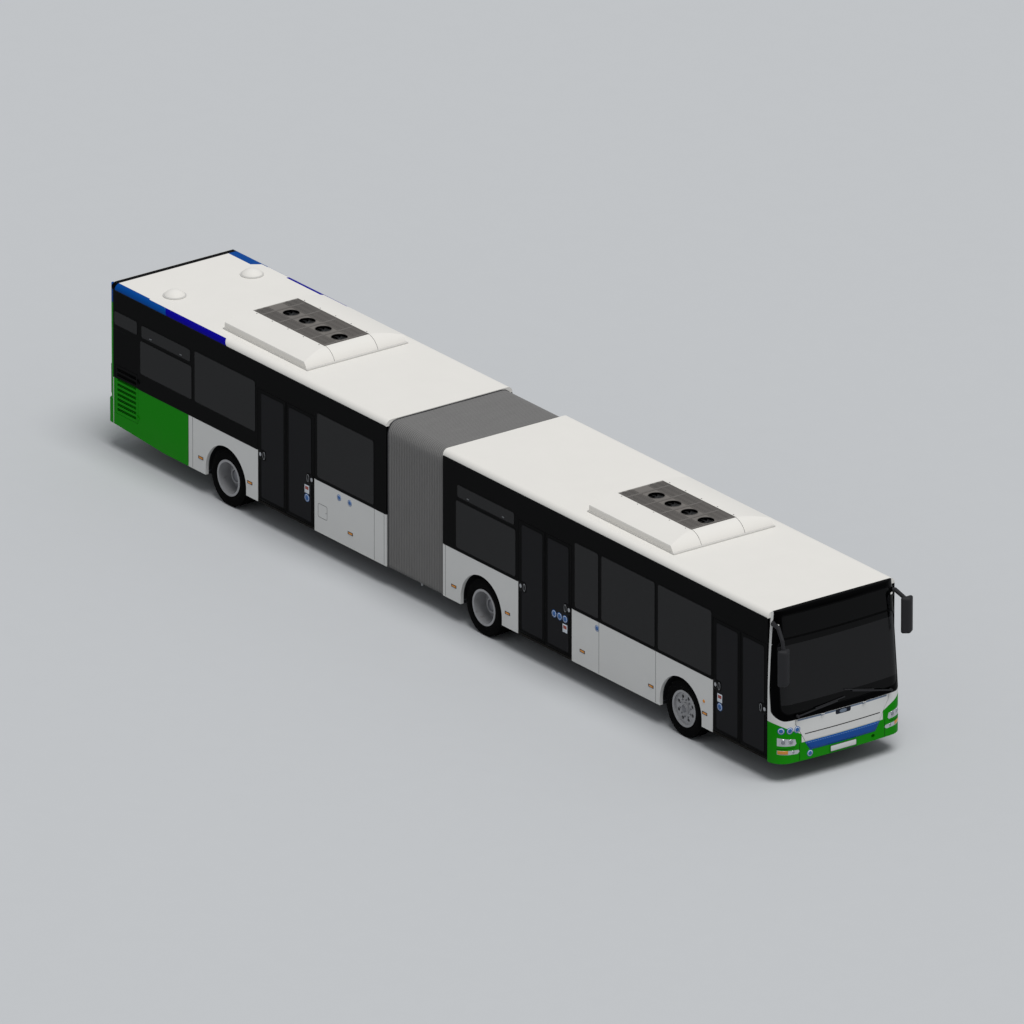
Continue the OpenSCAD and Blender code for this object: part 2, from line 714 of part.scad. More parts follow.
// Puts a wheel's piece at x and y with its outer side along Z, on side s
module at_wheel(x, y, s) translate([x, s * y, tyre_r]) rotate([s > 0 ? -90 : 90, 0, 0]) children();

beam_low = 225;
module front_axle() color([0.16, 0.16, 0.17]) difference() {
  union() {
    across(axle_1 - 45, 90) polygon([[-620, beam_low], [620, beam_low], [830, tyre_r - 50],
      [kingpin_y, tyre_r - 50], [kingpin_y, tyre_r + 50], [790, tyre_r + 50], [590, rail_z],
      [-590, rail_z], [-790, tyre_r + 50], [-kingpin_y, tyre_r + 50], [-kingpin_y, tyre_r - 50],
      [-830, tyre_r - 50]]);
    for (s = [-1, 1]) translate([axle_1, s * kingpin_y, tyre_r - 59]) cylinder(r = 46, h = 118);
  }
  for (s = [-1, 1]) translate([axle_1, s * kingpin_y, tyre_r - 100])
    cylinder(r = kingpin_r + run_clear, h = 200);
}

module knuckle(s) {
  y = kingpin_y;
  for (z = [-96, 60]) translate([axle_1, s * y, tyre_r + z]) {
    cylinder(r = 46, h = 36);
    translate([-46, s > 0 ? 0 : -(wheel_in - y), 0]) cube([92, wheel_in - y, 36]);
  }
  translate([axle_1, s * y, tyre_r - 96]) cylinder(r = kingpin_r, h = 192);
  translate([axle_1 - 46, s > 0 ? wheel_in - 30 : -wheel_in, tyre_r - 96]) cube([92, 30, 192]);
  at_wheel(axle_1, wheel_in - 10, s) cylinder(r = spindle_r, h = 145);
}
wheel_in = track_1 / 2 - front_rest - 20;   // knuckle's outer face, just inside the hub

module knuckle_right() color([0.2, 0.2, 0.2]) knuckle(-1);
module knuckle_left() color([0.2, 0.2, 0.2]) knuckle(1);

// Axle for twins: a low beam under the floor, upright ends and stubs for the hubs
module twin_axle(x) {
  across(x - 70, 140) difference() {
    polygon([[-616, beam_low], [616, beam_low], [616, tyre_r + 80], [568, tyre_r + 80],
      [568, rail_z], [-568, rail_z], [-568, tyre_r + 80], [-616, tyre_r + 80]]);
  }
  for (s = [-1, 1]) {
    at_wheel(x, 600, s) cylinder(r = 150, h = twin_y - 106 - 600);
    at_wheel(x, 600, s) cylinder(r = hub_r, h = twin_y + 95 - 600);
  }
}
module middle_axle() color([0.16, 0.16, 0.17]) twin_axle(axle_2);
module rear_axle() color([0.16, 0.16, 0.17]) twin_axle(axle_3);

// Tyre's ring: bulging sides between the bead and the tread
module tyre() rotate_extrude($fn = 128) intersection() {
  side_r = 180;
  mid = (rim_r + tyre_r) / 2;
  translate([rim_r + seat_gap, -tyre_w / 2]) square([tyre_r - rim_r - seat_gap, tyre_w]);
  for (s = [-1]) translate([mid, s * (tyre_w / 2 - side_r)]) circle(side_r);
  for (s = [1]) translate([mid, s * (tyre_w / 2 - side_r)]) circle(side_r);
}

// Rim's barrel with a flange at each edge
module barrel() rotate_extrude($fn = 128) {
  translate([rim_r - barrel_t, -bead_w]) square([barrel_t, 2 * bead_w]);
  for (z = [-bead_w, bead_w - 7]) translate([rim_r - barrel_t, z]) square([barrel_t + 14, 7]);
}

// Single wheel's rim: disc near the outer side with a domed hub
module front_rim() difference() {
  union() {
    barrel();
    translate([0, 0, 70]) cylinder(r = rim_r - barrel_t + 2, h = 22, $fn = 128);
    translate([0, 0, -front_rest]) cylinder(r = 95, h = front_rest + 112);
    translate([0, 0, 111]) cylinder(r = 70, h = 18);
  }
  translate([0, 0, -front_rest - e]) cylinder(r = spindle_r + run_clear, h = front_rest + 101);
  for (k = [0:7]) rotate(k * 45 + 22.5) translate([195, 0, 60]) cylinder(r = 30, h = 50);
}

// Twin wheels' rim: two barrels joined by the discs in the middle, and a deep hub
module twin_rim() difference() {
  union() {
    for (z = [-twin_step / 2, twin_step / 2]) translate([0, 0, z]) barrel();
    translate([0, 0, -42]) cylinder(r = rim_r - barrel_t + 2, h = 84, $fn = 128);
    translate([0, 0, -100]) cylinder(r = 125, h = 235);
  }
  translate([0, 0, -100 - e]) cylinder(r = hub_r + run_clear, h = 205);
  for (k = [0:7]) rotate(k * 45) translate([200, 0, -60]) cylinder(r = 28, h = 120);
}

module tyre_pair() for (z = [-twin_step / 2, twin_step / 2]) translate([0, 0, z]) tyre();

module front_tyre_at(s) color([0.06, 0.06, 0.06]) at_wheel(axle_1, track_1 / 2, s) tyre();
module twin_tyres_at(x, s) color([0.06, 0.06, 0.06]) at_wheel(x, twin_y, s) tyre_pair();
module front_rim_at(s) color([0.5, 0.5, 0.5]) at_wheel(axle_1, track_1 / 2, s) front_rim();
module twin_rim_at(x, s) color([0.5, 0.5, 0.5]) at_wheel(x, twin_y, s) twin_rim();

// ---- Doors ----

// Leaf at the right wall, from its hinged edge at x over a width w, forward when s is 1
module leaf(x, w, s) translate([x, 0, 0]) mirror([s > 0 ? 0 : 1, 0, 0]) {
  a = play;
  b = w - 4;
  glass = [a + stile_w, b - stile_w + 20, glass_low, glass_high];
  difference() {
    upright(-half_w, leaf_t) difference() {
      translate([a, leaf_low]) square([b - a, leaf_high - leaf_low]);
      round_box(glass, win_r);
    }
    upright(-half_w - e, glass_t + seat_gap + e)
      round_box(grow(glass, glass_lap + seat_gap), win_r + glass_lap);
  }
  upright(-half_w, glass_t) round_box(grow(glass, glass_lap), win_r + glass_lap);
  translate([column_in, column_y, floor_z + seat_gap])
    cylinder(r = column_r, h = door_top - floor_z - 2 * seat_gap);
  for (z = [leaf_low + 60, leaf_low + 900, leaf_high - 110])
    translate([column_in - 14, -half_w + leaf_t - e, z]) cube([60, column_y + half_w - leaf_t + e, 45]);
}

module door_leaf_at(d, s) color([0.08, 0.08, 0.09]) leaf(s > 0 ? d[0] : d[1], (d[1] - d[0]) / 2, s);

// ---- Bellows ----

module tunnel(w, top, low, r) {
  translate([-w, low]) square([2 * w, top - r - low]);
  translate([-w + r, low]) square([2 * w - 2 * r, top - low]);
  for (s = [-1, 1]) translate([s * (w - r), top - r]) circle(r);
}

bellows_w = half_w - 20;
bellows_top = roof_z - 15;
module bellows() color([0.2, 0.2, 0.2]) across(rear_start + 0.5, bellows_len - 1) difference() {
  tunnel(bellows_w, bellows_top, skirt_z - 5, 200);
  tunnel(bellows_w - fold_depth, bellows_top - fold_depth, 0, 140);
}

hoop_t = 40;
module bellows_hoop() color([0.45, 0.45, 0.46]) {
  w = bellows_w - fold_depth - 4;
  top = bellows_top - fold_depth - 4;
  difference() {
    union() {
      across(pivot_x - hoop_t / 2, hoop_t) difference() {
        tunnel(w, top, hoop_z, 136);
        tunnel(w - hoop_t, top - hoop_t, hoop_z + 45, 96);
      }
      translate([pivot_x, 0, hoop_z]) cylinder(r = 150, h = 45);
    }
    translate([pivot_x, 0, hoop_z - e]) cylinder(r = pin_r + run_clear, h = 60);
  }
}

// ---- Roof units ----

// Unit from x forward: flange, crowned cover with rounded shoulders, grille recess, fan wells
module aircon(x) {
  flat_y = 430;
  slope = 290;
  side_r = 120;
  side_y = unit_w / 2 - 12 - side_r;
  crown = 1887;
  nose_r = (slope * slope + unit_h * unit_h) / (2 * unit_h);
  grille = unit_l - slope;
  difference() {
    translate([x, 0, roof_z]) {
      translate([0, -unit_w / 2, 0]) cube([unit_l, unit_w, 22]);
      intersection() {
        across(30, unit_l - 60) {
          intersection() {
            union() {
              translate([-flat_y, 0]) square([2 * flat_y, unit_h]);
              for (s = [-1, 1]) translate([s * flat_y, unit_h - crown]) circle(crown, $fn = 256);
            }
            union() {
              translate([-side_y, 0]) square([2 * side_y, unit_h]);
              translate([-side_y - side_r, 0]) square([2 * (side_y + side_r), unit_h - side_r]);
              for (s = [-1, 1]) translate([s * side_y, unit_h - side_r]) circle(side_r);
            }
          }
        }
        upright(-unit_w, 2 * unit_w) {
          translate([0, 0]) square([grille, unit_h]);
          intersection() {
            translate([grille - 30, unit_h - nose_r]) circle(nose_r);
            square([unit_l, unit_h]);
          }
        }
      }
    }
    translate([x + 54, -445, roof_z + unit_h - 14]) cube([unit_l - slope - 54, 890, 20]);
    for (k = [0:3]) translate([x + 484 + 434 * k, 0, roof_z + unit_h - 70]) cylinder(r = fan_r, h = 80);
  }
}

unit_back_front = axle_1 - 2795;      // rear end of each unit
unit_back_rear = axle_3 - 405;
module front_aircon() color([0.87, 0.86, 0.84]) aircon(unit_back_front);
module rear_aircon() color([0.87, 0.86, 0.84]) aircon(unit_back_rear);

// Two round covers over the engine's roof vents
module roof_domes() color([0.88, 0.87, 0.85]) for (s = [-1, 1])
  translate([tail_x + 1025, s * 770, roof_z]) {
    rise = 92;
    ball = (dome_r * dome_r + rise * rise) / (2 * rise);
    cylinder(r = dome_r + 12, h = 15);
    translate([0, 0, 14]) intersection() {
      translate([0, 0, rise - ball]) sphere(ball);
      cylinder(r = dome_r, h = rise + e);
    }
  }

// ---- Cabin ----

seat_w = 430;
pole_y = inner_w - 45 - 2 * seat_w - 24;  // poles stand at the aisle's edges
// One seat facing forward: shell of cushion and back on a foot
module seat(x, y, z, foot) translate([x, y, z]) {
  translate([-200, -seat_w / 2, foot]) cube([400, seat_w, 60]);
  translate([-215, 8 - seat_w / 2, foot + 15]) rotate([0, -8, 0]) cube([50, seat_w - 16, 635]);
  translate([-60, -60, 0]) cube([120, 120, foot + e]);
}

module seat_row(x, z, foot, sides) for (s = sides) {
  seat(x, s * (inner_w - 30 - seat_w / 2), z, foot);
  seat(x, s * (inner_w - 45 - seat_w * 1.5), z, foot);
}

module front_seats() color([0.2, 0.3, 0.45]) {
  for (k = [0:3]) seat_row(door_2[1] + 330 + k * 480, floor_z, 430, k < 2 ? [-1, 1] : [1]);
  for (k = [0:1]) seat_row(door_2[0] - 100 + k * 700, floor_z, 430, [1]);
  translate([door_1[0] + 500, 620, floor_z]) {
    translate([-220, -230, 380]) cube([460, 460, 90]);
    translate([-250, -220, 380]) rotate([0, -6, 0]) cube([80, 440, 780]);
    translate([-110, -110, 0]) cube([220, 220, 381]);
  }
}

module rear_seats() color([0.2, 0.3, 0.45]) {
  for (k = [0:2]) seat_row(rear_start - 700 - k * 760, floor_z, 430, [1]);
  seat_row(rear_start - 700, floor_z, 430, [-1]);
  for (k = [0:1]) seat_row(bay_x - 500 - k * 800, bay_z, 400, [-1, 1]);
}

ceiling = roof_z - wall_t;
pole_r = 17;
module pole(x, y) translate([x, y, floor_z + seat_gap])
  cylinder(r = pole_r, h = ceiling - floor_z - 2 * seat_gap);
module grab_rail(x0, x1, y) translate([x0, y, 1950]) rotate([0, 90, 0]) cylinder(r = pole_r - 2, h = x1 - x0);

module front_handrails() color([0.85, 0.65, 0.1]) {
  for (y = [-pole_y, pole_y]) {
    for (x = [door_2[1] + 60, door_2[1] + 1300]) pole(x, y);
    grab_rail(door_2[1] + 60, door_2[1] + 1300, y);
  }
  pole(front_end + 300, pole_y);
  pole(door_2[0] - 200, pole_y);
  grab_rail(front_end + 300, door_2[0] - 200, pole_y);
  pole(door_1[0] + 60, 240);
  translate([door_1[0] + 50, 240, floor_z + 300]) cube([20, inner_w - 240, 1300]);
}

module rear_handrails() color([0.85, 0.65, 0.1]) for (y = [-pole_y, pole_y]) {
  pole(rear_start - 250, y);
  pole(door_3[0] - 200, y);
  grab_rail(door_3[0] - 200, rear_start - 250, y);
}

// Driver's desk with the steering wheel on its column
module dashboard() color([0.13, 0.13, 0.14]) {
  upright(-250, 1350) polygon([[mask_x - 200, 950], [mask_x - 120, 1050], [mask_x + 80, 1060],
    [mask_x + 80, floor_z], [mask_x - 40, floor_z], [mask_x - 60, 800]]);
  translate([mask_x - 330, 620, 1010]) rotate([0, -35, 0]) {
    rotate_extrude() translate([215, 0]) circle(14);
    for (a = [0:2]) rotate(a * 120 + 90) translate([0, -14, -8]) cube([214, 28, 14]);
    translate([0, 0, -500]) cylinder(r = 30, h = 512);
  }
}

front_underframe();
front_right_wall();
front_left_wall();
front_roof();
front_mask();
front_glass();
front_side_glass();
headlights();
mirrors();
wipers();
front_aircon();
front_axle();
middle_axle();
dashboard();
front_seats();
front_handrails();
front_flap();
knuckle_right();
knuckle_left();
front_tyre_at(-1);  // tyre_1_right
front_tyre_at(1);  // tyre_1_left
twin_tyres_at(axle_2, -1);  // tyre_2_right
twin_tyres_at(axle_2, 1);  // tyre_2_left
twin_tyres_at(axle_3, -1);  // tyre_3_right
twin_tyres_at(axle_3, 1);  // tyre_3_left
front_rim_at(-1);  // rim_1_right
front_rim_at(1);  // rim_1_left
twin_rim_at(axle_2, -1);  // rim_2_right
twin_rim_at(axle_2, 1);  // rim_2_left
twin_rim_at(axle_3, -1);  // rim_3_right
twin_rim_at(axle_3, 1);  // rim_3_left
door_leaf_at(door_1, -1);  // door_1_front
door_leaf_at(door_1, 1);  // door_1_rear
door_leaf_at(door_2, -1);  // door_2_front
door_leaf_at(door_2, 1);  // door_2_rear
door_leaf_at(door_3, -1);  // door_3_front
door_leaf_at(door_3, 1);  // door_3_rear
bellows();
bellows_hoop();
rear_underframe();
rear_right_wall();
rear_left_wall();
rear_roof();
rear_panel();
rear_glass();
tail_lights();
rear_aircon();
roof_domes();
engine();
rear_axle();
rear_seats();
rear_handrails();
turntable();
engine_hatch();
radiator_door();
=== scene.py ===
import math

import bpy
import numpy as np
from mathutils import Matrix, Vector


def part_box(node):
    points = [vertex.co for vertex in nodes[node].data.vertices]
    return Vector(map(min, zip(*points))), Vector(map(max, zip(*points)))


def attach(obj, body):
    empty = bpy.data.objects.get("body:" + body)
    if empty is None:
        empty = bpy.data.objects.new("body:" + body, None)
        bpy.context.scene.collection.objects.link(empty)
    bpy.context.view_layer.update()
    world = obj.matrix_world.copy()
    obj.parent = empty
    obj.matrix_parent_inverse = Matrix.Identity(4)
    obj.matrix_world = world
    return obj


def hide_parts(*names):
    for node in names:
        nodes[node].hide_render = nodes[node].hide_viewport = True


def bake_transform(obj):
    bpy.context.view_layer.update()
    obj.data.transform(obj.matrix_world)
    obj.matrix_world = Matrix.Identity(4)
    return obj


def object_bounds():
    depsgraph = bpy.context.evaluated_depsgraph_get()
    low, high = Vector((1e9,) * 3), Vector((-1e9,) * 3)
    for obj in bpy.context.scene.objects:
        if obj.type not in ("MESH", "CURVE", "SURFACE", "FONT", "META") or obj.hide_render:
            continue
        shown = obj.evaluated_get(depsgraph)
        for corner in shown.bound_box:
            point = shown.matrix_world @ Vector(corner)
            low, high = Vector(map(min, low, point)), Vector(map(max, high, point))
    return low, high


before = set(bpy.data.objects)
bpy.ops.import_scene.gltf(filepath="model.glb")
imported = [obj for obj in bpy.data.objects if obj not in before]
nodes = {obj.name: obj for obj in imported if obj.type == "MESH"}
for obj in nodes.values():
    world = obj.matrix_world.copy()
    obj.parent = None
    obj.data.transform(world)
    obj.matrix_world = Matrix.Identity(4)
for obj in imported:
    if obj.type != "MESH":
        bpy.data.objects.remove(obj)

cad_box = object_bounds()


# ---- Studio ----
# A pale matt floor under the bus, one broad soft light from high ahead of it and a pale sky,
# seen from the front right through a very long lens.

def material_tree(name, roughness, metallic=0.0, coat=0.0, specular=0.5):
    """A new material and its shader, with the values that are the same all over it."""
    made = bpy.data.materials.new(name)
    made.use_nodes = True
    shader = made.node_tree.nodes["Principled BSDF"]
    shader.inputs["Roughness"].default_value = roughness
    shader.inputs["Metallic"].default_value = metallic
    shader.inputs["Coat Weight"].default_value = coat
    shader.inputs["Coat Roughness"].default_value = 0.08
    shader.inputs["Specular IOR Level"].default_value = specular
    return made, shader


def srgb(red, green, blue):
    """Linear colour of a screen colour in 0 to 255: each channel to the power 2.2."""
    return tuple((channel / 255) ** 2.2 for channel in (red, green, blue)) + (1.0,)


class Finish:
    """One finish built up in layers. Its patterns read the object coordinates, in metres along
    the bus (x), across it (y) and up (z). Every method returns the socket of what it adds."""

    def __init__(self, name, roughness, metallic=0.0, coat=0.0, specular=0.5, by_uv=False):
        """Starts a finish; by_uv reads the piece's own UV in place of its object coordinates."""
        self.material, self.shader = material_tree(name, roughness, metallic, coat, specular)
        self.tree = self.material.node_tree
        place = self.tree.nodes.new("ShaderNodeTexCoord")
        self.place = place.outputs["UV" if by_uv else "Object"]
        axes = self.tree.nodes.new("ShaderNodeSeparateXYZ")
        self.tree.links.new(self.place, axes.inputs[0])
        self.x, self.y, self.z = axes.outputs
        self.roughness = roughness

    def math(self, operation, *values, clamp=False):
        """One arithmetic step on sockets or numbers."""
        step = self.tree.nodes.new("ShaderNodeMath")
        step.operation = operation
        step.use_clamp = clamp
        for socket, value in zip(step.inputs, values):
            if isinstance(value, bpy.types.NodeSocket):
                self.tree.links.new(value, socket)
            else:
                socket.default_value = value
        return step.outputs[0]

    def above(self, value, edge, soft=0.002):
        """0 below an edge and 1 above it, with a ramp of twice soft between."""
        return self.math("MULTIPLY_ADD", value, 0.5 / soft, 0.5 - 0.5 * edge / soft, clamp=True)

    def between(self, value, low, high, soft=0.002):
        """1 between two edges."""
        return self.math("SUBTRACT", self.above(value, low, soft), self.above(value, high, soft))

    def both(self, first, *others):
        """1 where every mask is 1: their product."""
        for other in others:
            first = self.math("MULTIPLY", first, other)
        return first

    def box(self, soft=0.002, **limits):
        """1 inside limits given as x=(low, high), y=... and z=..."""
        return self.both(*[self.between(getattr(self, axis), *pair, soft)
                           for axis, pair in limits.items()])

    def rounded(self, across, up, middle, half, radius, soft=0.002):
        """1 inside a rectangle with rounded corners: the distance from its inner rectangle,
        hypot(max(|a - a0| - h, 0), max(|b - b0| - h, 0)), is under the radius."""
        over = []
        for value, centre, reach in zip((across, up), middle, half):
            away = self.math("ABSOLUTE", self.math("SUBTRACT", value, centre))
            away = self.math("MAXIMUM", self.math("SUBTRACT", away, reach - radius), 0.0)
            over.append(self.math("POWER", away, 2.0))
        distance = self.math("SQRT", self.math("ADD", *over))
        return self.math("SUBTRACT", 1.0, self.above(distance, radius, soft))

    def noise(self, scale, detail=3.0, stretch=(1, 1, 1)):
        """Cloudy noise from 0 to 1 with scale cells a metre, stretched along each axis."""
        turned = self.tree.nodes.new("ShaderNodeMapping")
        turned.inputs["Scale"].default_value = stretch
        cloud = self.tree.nodes.new("ShaderNodeTexNoise")
        cloud.inputs["Scale"].default_value = scale
        cloud.inputs["Detail"].default_value = detail
        self.tree.links.new(self.place, turned.inputs["Vector"])
        self.tree.links.new(turned.outputs[0], cloud.inputs["Vector"])
        return cloud.outputs["Fac"]

    def wave(self, value, pitch):
        """A ripple from 0 to 1 that repeats every pitch along value."""
        turn = self.math("SINE", self.math("MULTIPLY", value, math.tau / pitch))
        return self.math("MULTIPLY_ADD", turn, 0.5, 0.5)

    def over(self, under, mask, colour):
        """Colour laid over what is under it, where the mask is 1."""
        mix = self.tree.nodes.new("ShaderNodeMix")
        mix.data_type = "RGBA"
        for socket, value in ((mix.inputs[0], mask), (mix.inputs[6], under), (mix.inputs[7], colour)):
            if isinstance(value, bpy.types.NodeSocket):
                self.tree.links.new(value, socket)
            else:
                socket.default_value = value
        return mix.outputs[2]

    def done(self, colour, mottle=0.06, grain=0.0, scale=60.0, uneven=0.05, relief=None, depth=0.001):
        """Finishes the material: the colour varies by mottle in large clouds, the roughness by
        uneven, and a fine grain or a given relief stands out as bump. Returns the material."""
        cloud = self.noise(2.3, 4.0)
        shade = self.math("MULTIPLY_ADD", cloud, mottle, 1.0 - mottle / 2)
        tint = self.tree.nodes.new("ShaderNodeCombineColor")
        for socket in tint.inputs:
            self.tree.links.new(shade, socket)
        mix = self.tree.nodes.new("ShaderNodeMix")
        mix.data_type = "RGBA"
        mix.blend_type = "MULTIPLY"
        mix.inputs[0].default_value = 1.0
        if isinstance(colour, bpy.types.NodeSocket):
            self.tree.links.new(colour, mix.inputs[6])
        else:
            mix.inputs[6].default_value = colour
        self.tree.links.new(tint.outputs[0], mix.inputs[7])
        self.tree.links.new(mix.outputs[2], self.shader.inputs["Base Color"])
        fine = self.noise(scale, 2.0)
        spread = self.math("MULTIPLY_ADD", fine, 2 * uneven, self.roughness - uneven)
        self.tree.links.new(spread, self.shader.inputs["Roughness"])
        if grain or relief is not None:
            bump = self.tree.nodes.new("ShaderNodeBump")
            bump.inputs["Strength"].default_value = grain or 1.0
            bump.inputs["Distance"].default_value = depth
            self.tree.links.new(fine if relief is None else relief, bump.inputs["Height"])
            self.tree.links.new(bump.outputs[0], self.shader.inputs["Normal"])
        return self.material


floor_half = 90.0
view_azimuth, view_elevation = math.radians(53.35), math.radians(22.0)
view_distance = 543.0
looked_at = np.array([0.159, 0.0, 1.548])

floor_mesh = bpy.data.meshes.new("studio_floor")
floor_mesh.from_pydata([(-floor_half, -floor_half, 0), (floor_half, -floor_half, 0),
                        (floor_half, floor_half, 0), (-floor_half, floor_half, 0)], [], [(0, 1, 2, 3)])
floor = bpy.data.objects.new("studio_floor", floor_mesh)
bpy.context.scene.collection.objects.link(floor)
screed = Finish("floor_screed", roughness=0.9, specular=0.1)
floor_mesh.materials.append(screed.done(srgb(196, 198, 200), mottle=0.02))

sky = bpy.data.worlds.new("pale_sky")
sky.use_nodes = True
sky.node_tree.nodes["Background"].inputs["Color"].default_value = (0.93, 0.96, 1.0, 1.0)
sky.node_tree.nodes["Background"].inputs["Strength"].default_value = 0.33
bpy.context.scene.world = sky
bpy.context.scene.view_settings.view_transform = "Standard"


def sun(name, towards, strength, spread):
    """A distant soft light that shines from the direction towards, spread in degrees."""
    lamp = bpy.data.lights.new(name, "SUN")
    lamp.energy = strength
    lamp.angle = math.radians(spread)
    shining = bpy.data.objects.new(name, lamp)
    direction = np.array(towards, float)
    x, y, z = direction / np.linalg.norm(direction)
    shining.rotation_euler = (math.acos(z), 0.0, math.atan2(y, x) + math.pi / 2)
    bpy.context.scene.collection.objects.link(shining)


sun("softbox", (0.36, -0.05, 1.0), 2.15, 35)

camera_data = bpy.data.cameras.new("camera")
camera_data.lens = 1200.0
camera_data.sensor_width = 36.0
camera_data.clip_start = 10.0
camera_data.clip_end = 2000.0
camera = bpy.data.objects.new("camera", camera_data)
backwards = np.array([math.sin(view_azimuth) * math.cos(view_elevation),
                      -math.cos(view_azimuth) * math.cos(view_elevation), math.sin(view_elevation)])
camera.location = looked_at + backwards * view_distance
camera.rotation_euler = (math.pi / 2 - view_elevation, 0.0, view_azimuth)
bpy.context.scene.collection.objects.link(camera)
bpy.context.scene.camera = camera


# ---- Painted body ----
# Sheet-metal walls, a moulded roof and plastic front and rear masks, sprayed white, with a
# black band at the windows and a green and blue livery at both ends.

white = srgb(212, 212, 210)
# The roof and the roof units get a lighter copy of the white paint: painted light on the surfaces that face
# up.
lit_roof_white = srgb(232, 229, 223)
black = srgb(6, 6, 7)
green = srgb(26, 134, 16)
blue = srgb(12, 72, 146)
deep_blue = srgb(18, 12, 142)
dusty = srgb(120, 112, 100)

belt_z = 1.26
roof_line = 2.772
seam_green = -6.857
rear_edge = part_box("rear_right_wall")[0].x
tail_edge = rear_edge + 0.006
mask_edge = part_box("front_mask")[0].x
half_width = -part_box("front_right_wall")[0].y


def weathered(paint, colour):
    """Road dust on the lower part: more of it towards the skirt, in streaks and clouds."""
    height = paint.math("SUBTRACT", 1.0, paint.above(paint.z, 0.62, 0.3))
    streaks = paint.noise(3.0, 5.0, (1.0, 1.0, 0.35))
    dust = paint.both(height, paint.math("MULTIPLY", streaks, 0.07))
    return paint.over(colour, dust, dusty)


def wear_paint(names, paint, colour):
    """Finishes a paint and puts it on CAD nodes."""
    made = paint.done(weathered(paint, colour), mottle=0.035, grain=0.05, scale=420.0,
                      uneven=0.03, depth=0.0004)
    for name in names:
        nodes[name].data.materials.clear()
        nodes[name].data.materials.append(made)


def gloss(name):
    """Sprayed paint, rather matt."""
    return Finish(name, roughness=0.36, specular=0.03)


side = gloss("side_paint")
layered = side.over(white, side.box(z=(belt_z, roof_line)), black)
layered = side.over(layered, side.box(x=(-10, seam_green), z=(0.2, belt_z)), green)
doorways = {1: (7.1343, 8.5623), 2: (2.001, 3.425), 3: (-4.974, -3.446)}
for ends in doorways.values():
    layered = side.over(layered, side.box(x=ends, z=(0.2, 0.42)), black)
wear_paint(("front_right_wall", "front_left_wall", "rear_right_wall", "rear_left_wall"), side, layered)

grille_door = gloss("radiator_door_paint")
wear_paint(("radiator_door",), grille_door,
           grille_door.over(green, grille_door.above(grille_door.z, belt_z), black))

# The roof's rounded edges carry a blue stripe over the rear windows, cut off at a slant
roof = gloss("roof_paint")
cove = roof.both(roof.above(roof.math("ABSOLUTE", roof.y), 1.187), roof.above(roof.z, roof_line - 0.02))
slanted = roof.math("ADD", roof.x, roof.math("MULTIPLY", roof.z, 0.9))
layered = roof.over(lit_roof_white, roof.both(cove, roof.between(slanted, -10, -3.32)), deep_blue)
layered = roof.over(layered, roof.both(cove, roof.between(slanted, -10, -4.95)), blue)
tapering = roof.math("MULTIPLY_ADD", roof.x, -1.333, roof.y)
corner_patch = roof.both(roof.box(x=(-8.86, -8.1), y=(1.015, 1.3), z=(2.8, 3.0)),
                         roof.above(tapering, 12.02, 0.004))
layered = roof.over(layered, corner_patch, blue)
edge_line = roof.between(roof.math("ABSOLUTE", roof.y), 1.165, 1.19)
layered = roof.over(layered, roof.both(edge_line, roof.box(x=(-8.86, -8.0))), blue)
layered = roof.over(layered, roof.box(x=(-7.44, -5.85), y=(1.13, 1.19)), deep_blue)
layered = roof.over(layered, roof.box(x=(-9, -8.856)), black)
wear_paint(("front_roof", "rear_roof"), roof, layered)

moulding = gloss("roof_moulding_paint")
# The darker band at the foot of the roof units and domes, where they meet the roof, is painted shade.
layered = moulding.over(lit_roof_white, moulding.box(z=(2.87, 2.9)), srgb(206, 204, 200))
for start in (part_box("front_aircon")[0].x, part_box("rear_aircon")[0].x):
    # The grooves in each recess are a darker grey than the plate: painted shade in the grooves.
    grooves = moulding.math("ADD", *[moulding.between(moulding.math("ABSOLUTE", moulding.y), *pair)
                                   for pair in ((0.195, 0.255), (0.31, 0.36))])
    recess = moulding.box(x=(start + 0.054, start + 1.99), y=(-0.446, 0.446), z=(3.04, 3.076), soft=0.001)
    layered = moulding.over(layered, recess, srgb(118, 114, 110))
    layered = moulding.over(layered, moulding.both(recess, grooves), srgb(84, 81, 79))
    # The fan wells' walls and floors are painted near black: painted shade in the wells.
    well = moulding.box(x=(start + 0.34, start + 1.93), y=(-0.14, 0.14), z=(2.97, 3.0665), soft=0.0005)
    layered = moulding.over(layered, well, srgb(12, 12, 13))
wear_paint(("front_aircon", "rear_aircon", "roof_domes"), moulding, layered)

# Front mask: black round the windscreen and over it, white below it, green lower corners
front = gloss("front_mask_paint")
aside = front.math("ABSOLUTE", front.y)
corner_green = front.both(front.above(aside, 0.80), front.math("SUBTRACT", 1.0, front.above(
    front.math("MULTIPLY_ADD", aside, -0.53, front.z), 0.375)))
bumper_green = front.math("SUBTRACT", 1.0, front.above(front.z, 0.655))
layered = front.over(white, corner_green, green)
layered = front.over(layered, bumper_green, green)
cowl = front.both(front.rounded(front.y, front.z, (0.0, 1.72), (1.24, 0.655), 0.16),
                  front.above(front.x, mask_edge + 0.05, 0.003))
layered = front.over(layered, cowl, black)
brow = front.both(front.above(front.z, 2.33), front.above(front.x, mask_edge + 0.05, 0.003))
layered = front.over(layered, brow, black)
roof_lip = front.both(front.box(y=(-1.16, 1.16)), front.above(front.z, 2.83),
                      front.above(front.x, mask_edge + 0.003, 0.002))
layered = front.over(layered, roof_lip, black)
wear_paint(("front_mask",), front, layered)

flap = gloss("front_flap_paint")
top_edge = flap.rounded(flap.y, flap.z, (0.0, 1.045), (0.88, 0.013), 0.012)
layered = flap.over(white, top_edge, srgb(104, 118, 138))
# The notch round the emblem is painted near black: painted shade in the recess.
notch = flap.rounded(flap.y, flap.z, (0.0, 1.02), (0.15, 0.045), 0.03)
layered = flap.over(layered, notch, srgb(38, 42, 50))
wear_paint(("front_flap",), flap, layered)

